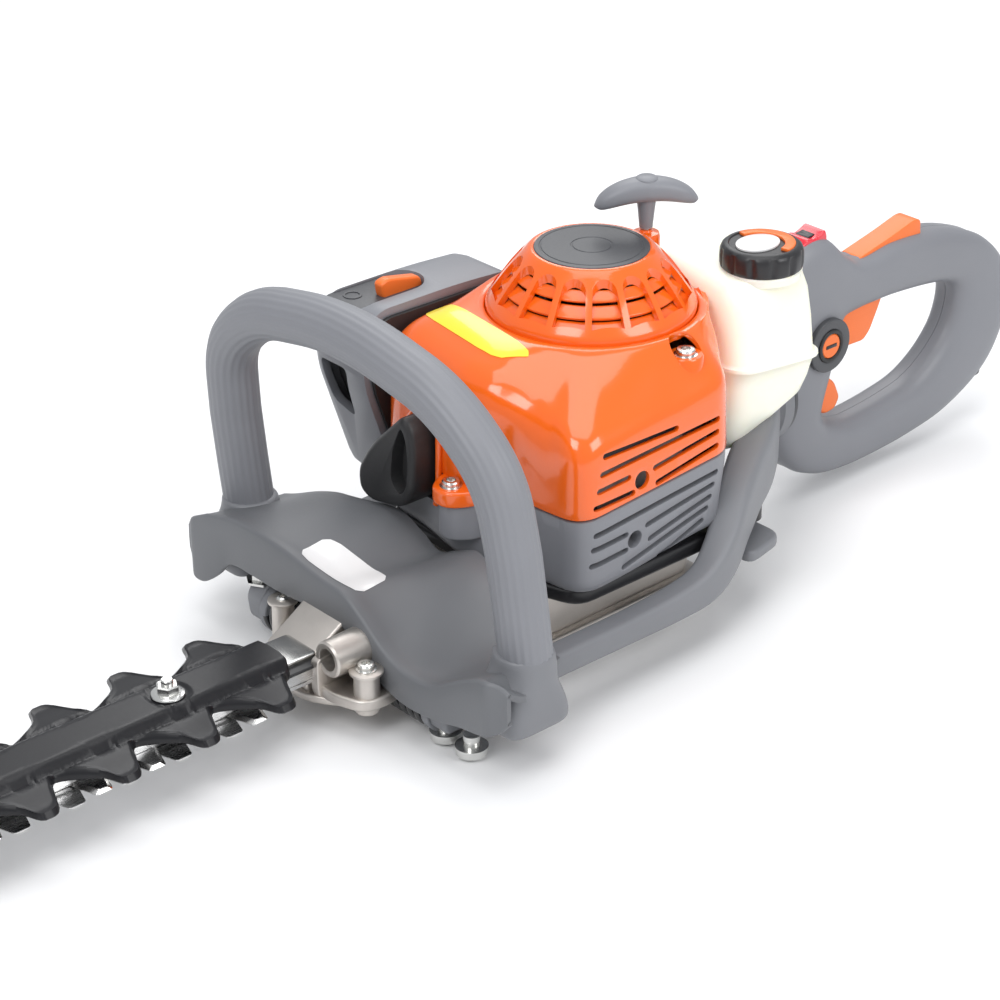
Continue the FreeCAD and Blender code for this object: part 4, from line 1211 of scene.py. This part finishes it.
def makeGearbox():
    base = slab("gearboxBase", rounded([(-44, -40), (70, -42), (112, -27), (128, -25), (134, -12), (134, 12), (128, 25),
                                        (112, 28), (70, 42), (-44, 40)], 9, 5), 0.4, 9, "XY", 1.8)
    dress(base, castAlloy, stands="gear_case_lower")
    body = slab("gearboxBody", rounded([(-40, -36), (66, -38), (104, -22), (140, -20), (140, 20), (104, 22), (66, 38),
                                        (-40, 36)], 12, 6), 8, 46, "XY", 3)
    skirt = lathe("gearboxNeck", rounded([(0.5, 44), (36, 44), (34, 60), (0.5, 60)], 1.5, 3), steps=72, closed=True)
    dress(body, castAlloy, stands="gear_case_upper")
    dress(skirt, castAlloy)
    wedge = [(118, 10), (184, 14), (188, 17), (188, 31), (180, 35.5), (168, 43), (152, 53), (118, 53)]
    nose = slab("gearboxNose", rounded(wedge, [2, 3, 3, 3, 5, 4, 6, 2], 4), -21, 9, "XZ", 2.0)
    slot = block("barSlot", (150, -15.6, 22), (200, 15.6, 32.6), 0.4, 2)
    carve(nose, [slot])
    dress(nose, castAlloy)
    cheek = slab("noseCheek", rounded([(150, 16), (186, 16), (187, 20), (187, 36), (150, 40)], 3, 3), 12, 17, "XZ", 1.6)
    dress(cheek, castAlloy)
    boss = lathe("gearboxBoss", [(5.6, 184.4), (6.3, 184.8), (8.0, 184.8), (8.9, 183.8), (9.2, 174), (9.8, 150),
                                 (5.6, 150)],
                 (0, 21.5, 38), "X", 56, closed=True)
    dress(boss, castAlloy)
    # black fill down inside the boss: painted shade standing in for the depth of the bore
    bore = lathe("bossBoreShade", [(0, 176), (5.9, 176), (5.9, 150), (0, 150)], (0, 21.5, 38), "X", 40)
    dress(bore, blackPlastic)
    plug = lathe("sidePlug", [(0, 165), (7.4, 165), (8.6, 163.4), (8.8, 156), (8.8, 140), (0, 140)], (0, 29.5, 34),
                 "X", 56)
    dress(plug, blackRubber)
    web = slab("postWeb", rounded([(140, 8), (184, 8), (186, 24), (180, 42), (166, 44), (140, 36)], 6, 4), 16, 22,
               "XY", 1.6)
    dress(web, castAlloy)
    ledge = slab("noseLedge", rounded([(110, -30), (158, -44), (172, -42), (188, -18), (191, 4), (187, 16), (176, 30),
                                       (110, 34)], 6, 5), 12.5, 16.5, "XY", 1.2)
    dress(ledge, castAlloy)
    for name, x, y, low, high, r in (("postLeft", 173, 35.5, 13, 33.5, 6.4), ("postRight", 165, -37, 13, 37, 5.8)):
        post = lathe(name, [(0, low), (r - 0.8, low), (r, low + 1.5), (r * 0.93, high - 1), (r * 0.86, high),
                            (0, high)],
                     (x, y, 0), steps=40)
        dress(post, castAlloy)
        plate = lathe(name + "Washer", [(0, high - 0.2), (r * 1.25, high - 0.2), (r * 1.25, high + 1),
                                        (r * 1.1, high + 1.4),
                                        (0, high + 1.4)], (x, y, 0), steps=40)
        dress(plate, castAlloy)
    arm = slab("postArm", rounded([(140, -42), (166, -43), (172, -32), (172, -16), (140, -16)], 5, 4), 15, 23, "XY",
               1.8)
    dress(arm, castAlloy)
    makeScrew("postScrew", (173, 35.5, 34.8), "Z", "base", 4.0, 3.4)
    makeScrew("postScrewRight", (165, -37, 38.2), "Z", "base", 2.6, 1.6)
    spine = slab("barSpine", rounded([(150, -14.5), (212, -14.5), (212, 14.5), (150, 14.5)], 3, 3), 28.4, 33.0, "XY",
                 0.8)
    dress(spine, blackPlastic)
    barCover = slab("barSleeve", rounded([(180, -14), (214, -14), (214, 9), (180, 9)], 3, 3), 30.6, 35.2, "XY", 1.0)
    dress(barCover, zincSteel)


# Tooth guard: a long moulded comb whose horns lean along the bar

comb = {"start": 199, "end": 753, "pitch": 42, "first": 204, "low": 32.4, "spine": 40.8, "nutStep": 112,
        "firstNut": 258,
        "edge": [(0, 17), (3, 20), (6, 27), (9, 34.5), (11.5, 37.8), (14, 38.8), (18.5, 38.7), (20.5, 36.8), (22, 32),
                 (24.5, 27.5), (29, 23.8), (35, 20), (39, 17.8), (42, 17)]}


def combEdge(x):
    s = x - comb["first"]
    if s < 0:
        return 6 + 11 * sqrt(max(0, 1 - (s / 5.0) ** 2))
    if x > 736:
        return lerp(20, 6, ease((x - 736) / 17)) if x > 740 else 20
    return keyed(comb["edge"], s % comb["pitch"], soft=False)


def combTop(x, y):
    d = abs(y)
    edge = combEdge(x)
    z = comb["spine"] - 3.4 * ease((d - 9.5) / 5.5)
    z -= 2.2 * ease((d - 15) / 20)
    z -= 0.9 * max(0, 1 - abs(d - 15.2) / 1.5)                       # groove beside the spine
    z += 0.8 * max(0, 1 - abs(edge - d - 2.4) / 1.5) * ease((d - 15) / 3)   # ridge along the edge
    z -= 1.7 * ease((1.6 - (edge - d)) / 1.6)                         # soft outer edge
    for n in range(5):
        far = hypot(x - comb["firstNut"] - comb["nutStep"] * n, y)
        if far < 11:
            z = min(z, 40.9) - 0.8 * ease((10.6 - far) / 1.2)
    return z


def makeComb():
    count = 620
    across = 30
    rows = []
    for i in range(count + 1):
        x = lerp(comb["start"], comb["end"], i / count)
        edge = combEdge(x)
        row = []
        for j in range(across + 1):
            u = -1 + 2 * j / across
            y = edge * (abs(u) ** 0.85) * (1 if u > 0 else -1)
            row.append((x, y, combTop(x, y)))
        skirt = comb["low"]
        row += [(x, edge * 0.985, skirt + 0.4), (x, edge - 1.6, skirt), (x, -edge + 1.6, skirt),
                (x, -edge * 0.985, skirt + 0.4)]
        rows.append(row)
    body = grid("toothComb", rows)
    dress(body, combPlastic, stands="tooth_guard", sharp=50)


def makeBarHardware():
    flanges, bolts = [], []
    for n in range(5):
        x = comb["firstNut"] + comb["nutStep"] * n
        flange = [(0, 40.2), (7.6, 40.2), (7.9, 40.6), (7.6, 41.2), (5.8, 41.9), (0, 42)]
        flanges.append(lathe("barNut", flange, (x, 0, 0), steps=44))
        flanges.append(lathe("barNut", [(0, 41.6), (5.4, 41.6), (5.5, 45.2), (4.7, 45.9), (0, 46)], (x, 0, 0), steps=6))
        bolts.append(lathe("barBolt", [(0, 22), (2.9, 22), (2.9, 47.8), (2.4, 48.3), (0, 48.3)], (x, 0, 0), steps=24))
        bolts.append(lathe("barBolt", [(0, 20.2), (4.6, 20.2), (5.2, 20.8), (5.2, 23.2), (0, 23.2)], (x, 0, 0),
                           steps=6))
    nuts = merged(flanges)
    nuts.name = "barNuts"
    dress(nuts, zincSteel, stands="bar_nuts", sharp=28)
    rods = merged(bolts)
    rods.name = "barBolts"
    dress(rods, zincSteel, stands="bar_bolts", sharp=28)


def makeBlade(name, node, body, first, low, high, upper):
    # a slotted strip whose teeth are ground down to their edges on both flanks
    parts = [slab("strip", [(24, -13.5), (741, -13.5), (741, 13.5), (24, 13.5)], low, high, "XY", 0.2, 1)]
    for n in range(19):
        x = first + 28 * n
        if x > 738:
            continue
        for side in (1, -1):
            full = [(x - 9, 13), (x - 4.4, 27.2), (x - 3.2, 28), (x + 3.2, 28), (x + 4.4, 27.2), (x + 9, 13)]
            inset = [(x - 6.6, 13), (x - 2.4, 26.4), (x - 1.6, 27), (x + 1.6, 27), (x + 2.4, 26.4), (x + 6.6, 13)]
            rows = [[(a, side * b, low if upper else high) for a, b in full],
                    [(a, side * b, lerp(low, high, 0.2 if upper else 0.8)) for a, b in full],
                    [(a, side * b, high if upper else low) for a, b in inset]]
            parts.append(grid("tooth", rows))
    blade = merged(parts)
    blade.name = name
    dress(blade, bladeSteel, body=body, stands=node, sharp=20)
    blade.data.materials.append(groundEdge)
    for face in blade.data.polygons:
        if 0.15 < abs(face.normal.z) < 0.9:
            face.material_index = 1


makeGearbox()
makeComb()
makeBarHardware()
makeBlade("upperBlade", "upper_blade", "blade_upper", 228, 25.8, 27.8, True)
makeBlade("lowerBlade", "lower_blade", "blade_lower", 242, 23.6, 25.6, False)
print("gearbox and cutting bar made")
# Filter cover with its dark recess, choke lever and window; spark plug boot


def makeFilterCover():
    outline = rounded([(-8, 66), (60, 53.5), (71, 55.5), (92, 118), (92, 142), (82, 154), (30, 154), (-2, 152),
                       (-10, 140)],
                      [12, 8, 10, 24, 12, 14, 40, 16, 10], 8)
    rows = []
    for y, inset in ((-62.4, 0), (-92, 0), (-98, 1), (-102.5, 3.6), (-105, 8), (-106, 15), (-106, 26)):
        middle = Vector((42, 104))
        rows.append([(middle.x + (a - middle.x) * (1 - inset / 62), y, middle.y + (b - middle.y) * (1 - inset / 60))
                     for a, b in outline])
    shell = grid("filterCoverShell", rows)
    hollow = slab("hollow", rounded([(-4, 70), (58, 58), (67, 60), (87, 118), (87, 140), (79, 149.5), (0, 148),
                                     (-6, 138)], 10, 5), -101, -60, "XZ", 2)
    pane = grid("windowCut", [[(x, y, z) for y, z in rounded([(-97, 122), (-76, 122), (-80, 92), (-95, 98)], 4, 4)]
                              for x in (60, 110)])
    recess = slab("recess", rounded([(84, -102), (42, -102), (35, -84), (44, -72), (84, -72)], 8, 5), 149.5, 160,
                  "XY", 0.5)
    carve(shell, [hollow, pane, recess])
    dress(bevel(shell, 0.7, 2, 45), greyShell, stands="filter_cover", sharp=46)
    floor = slab("chokePanel", rounded([(86, -103), (40, -103), (33, -84), (42, -71), (86, -71)], 8, 5),
                 145.5, 150.2, "XY", 0.8)
    dress(floor, darkPlastic)
    ring = lathe("chokeMark", rounded([(3.6, 149.8), (4.8, 149.8), (4.8, 150.7), (3.6, 150.7)], 0.3, 2), (73, -93, 0),
                 steps=36,
                 closed=True)
    dress(ring, darkPlastic)
    inside = slab("filterHousing", rounded([(-2, 72), (56, 62), (64, 64), (84, 116), (84, 138), (76, 144), (2, 144)],
                                           8, 5),
                  -95, -69, "XZ", 2)
    dress(inside, blackPlastic, stands="filter_base")
    gap = slab("seamGasket", rounded([(-6, 70), (58, 57), (68, 59), (88, 118), (88, 141), (80, 150), (0, 149),
                                      (-7, 138)], 10, 5), -62.6, -60.3, "XZ", 0.6)
    dress(gap, blackRubber)


def makeChoke():
    lever = slab("chokeLever", rounded([(44, 140), (57, 140), (64, 150.6), (65, 157.5), (60, 159), (40, 155),
                                        (38, 150.6)], 2, 4), -86.6, -80.4, "XZ", 1.4, 4)
    dress(lever, orangeSatin, body="choke", stands="choke_lever")


# Spark plug boot: a leaning teardrop with a hollowed face

def makeBoot():
    outline = rounded([(-18, 122), (-11.5, 114), (-10, 99), (-11.5, 82), (-19.5, 72), (-31, 69.5), (-44, 67), (-52, 71),
                       (-53, 82), (-43, 98)], [5, 6, 20, 8, 7, 10, 9, 8, 12, 30], 7)
    boot = slab("sparkBoot", outline, 85.5, 105.5, "YZ", 5.5, 5)
    mouth = rounded([(-18.5, 116), (-15, 110), (-13.6, 98), (-15.5, 84), (-20.5, 78.5), (-27, 85), (-25, 102)], 4, 5)
    carve(boot, [prism("bootMouth", mouth, 98, 112, "YZ")])
    dress(bevel(boot, 0.8, 2, 50), blackRubber, stands="spark_plug_boot", sharp=60)
    lip = flowing([(84.6, -47, 84), (85, -42, 100), (86, -29, 116.5), (87.6, -18, 124), (90.4, -9.2, 118),
                   (91.6, -7.2, 104), (92, -7.4, 84), (90.5, -11, 73)], 6)
    surround = sweep("bootSurround", lip, lambda i, t: disc2(1.7, 14), side=(1, 0, 0))
    dress(surround, orangeGloss)


makeFilterCover()
makeChoke()
makeBoot()
print("filter cover and plug boot made")


# Plain yellow label on the front slope, with blank shapes only

def makeLabels():
    shell = bpy.data.objects["engineCowl"]
    label = draped("yellowLabel", [(77, -53, 190), (86.5, 11, 190), (71, 25, 190), (61.5, -49, 190)], shell,
                   aim=(-0.35, 0, -1))
    dress(label, labelYellow)


makeLabels()
print("labels laid")

for finish, nodes in ((castAlloy, ("gear_case_lower", "gear_case_upper", "crankcase", "piston", "cylinder",
                                   "flywheel", "carburetor")),
                      (bladeSteel, ("drive_gear", "clutch_drum", "main_bearings", "crankshaft_lower",
                                    "crankshaft_upper", "connecting_rod", "wrist_pin", "guide_bar", "front_handle",
                                    "upper_blade", "lower_blade")),
                      (ironDark, ("clutch_shoes", "muffler")), (glazed, ("spark_plug",)),
                      (blackRubber, ("spark_plug_boot", "cap_seal", "fuel_hose", "rear_isolators",
                                     "swivel_bush")),
                      (blackPlastic, ("ignition_coil", "starter_pulley", "filter_base", "fuel_cap")),
                      (combPlastic, ("tooth_guard",)), (springSteel, ("recoil_spring", "front_springs")),
                      (orangeGloss, ("engine_cowl", "fan_cover", "starter_guide")),
                      (orangeSatin, ("choke_lever", "throttle_trigger", "throttle_lockout", "handle_catch")),
                      (greyShell, ("lower_cover", "starter_handle", "filter_cover", "rear_handle_left",
                                   "rear_handle_right")),
                      (frameShell, ("handle_frame", "handle_foot_left", "handle_foot_right")),
                      (guardShell, ("hand_guard",)), (gripRubber, ("front_grip",)),
                      (darkPlastic, ("emblem_disc",)), (openFoam, ("filter_element",)),
                      (tankPlastic, ("fuel_tank",)), (redPlastic, ("stop_switch",)),
                      (zincSteel, ("cover_screws", "guard_bolts", "bar_bolts", "bar_nuts", "handle_screws"))):
    for node in nodes:
        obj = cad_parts[node]
        obj.data.materials.clear()
        obj.data.materials.append(finish)
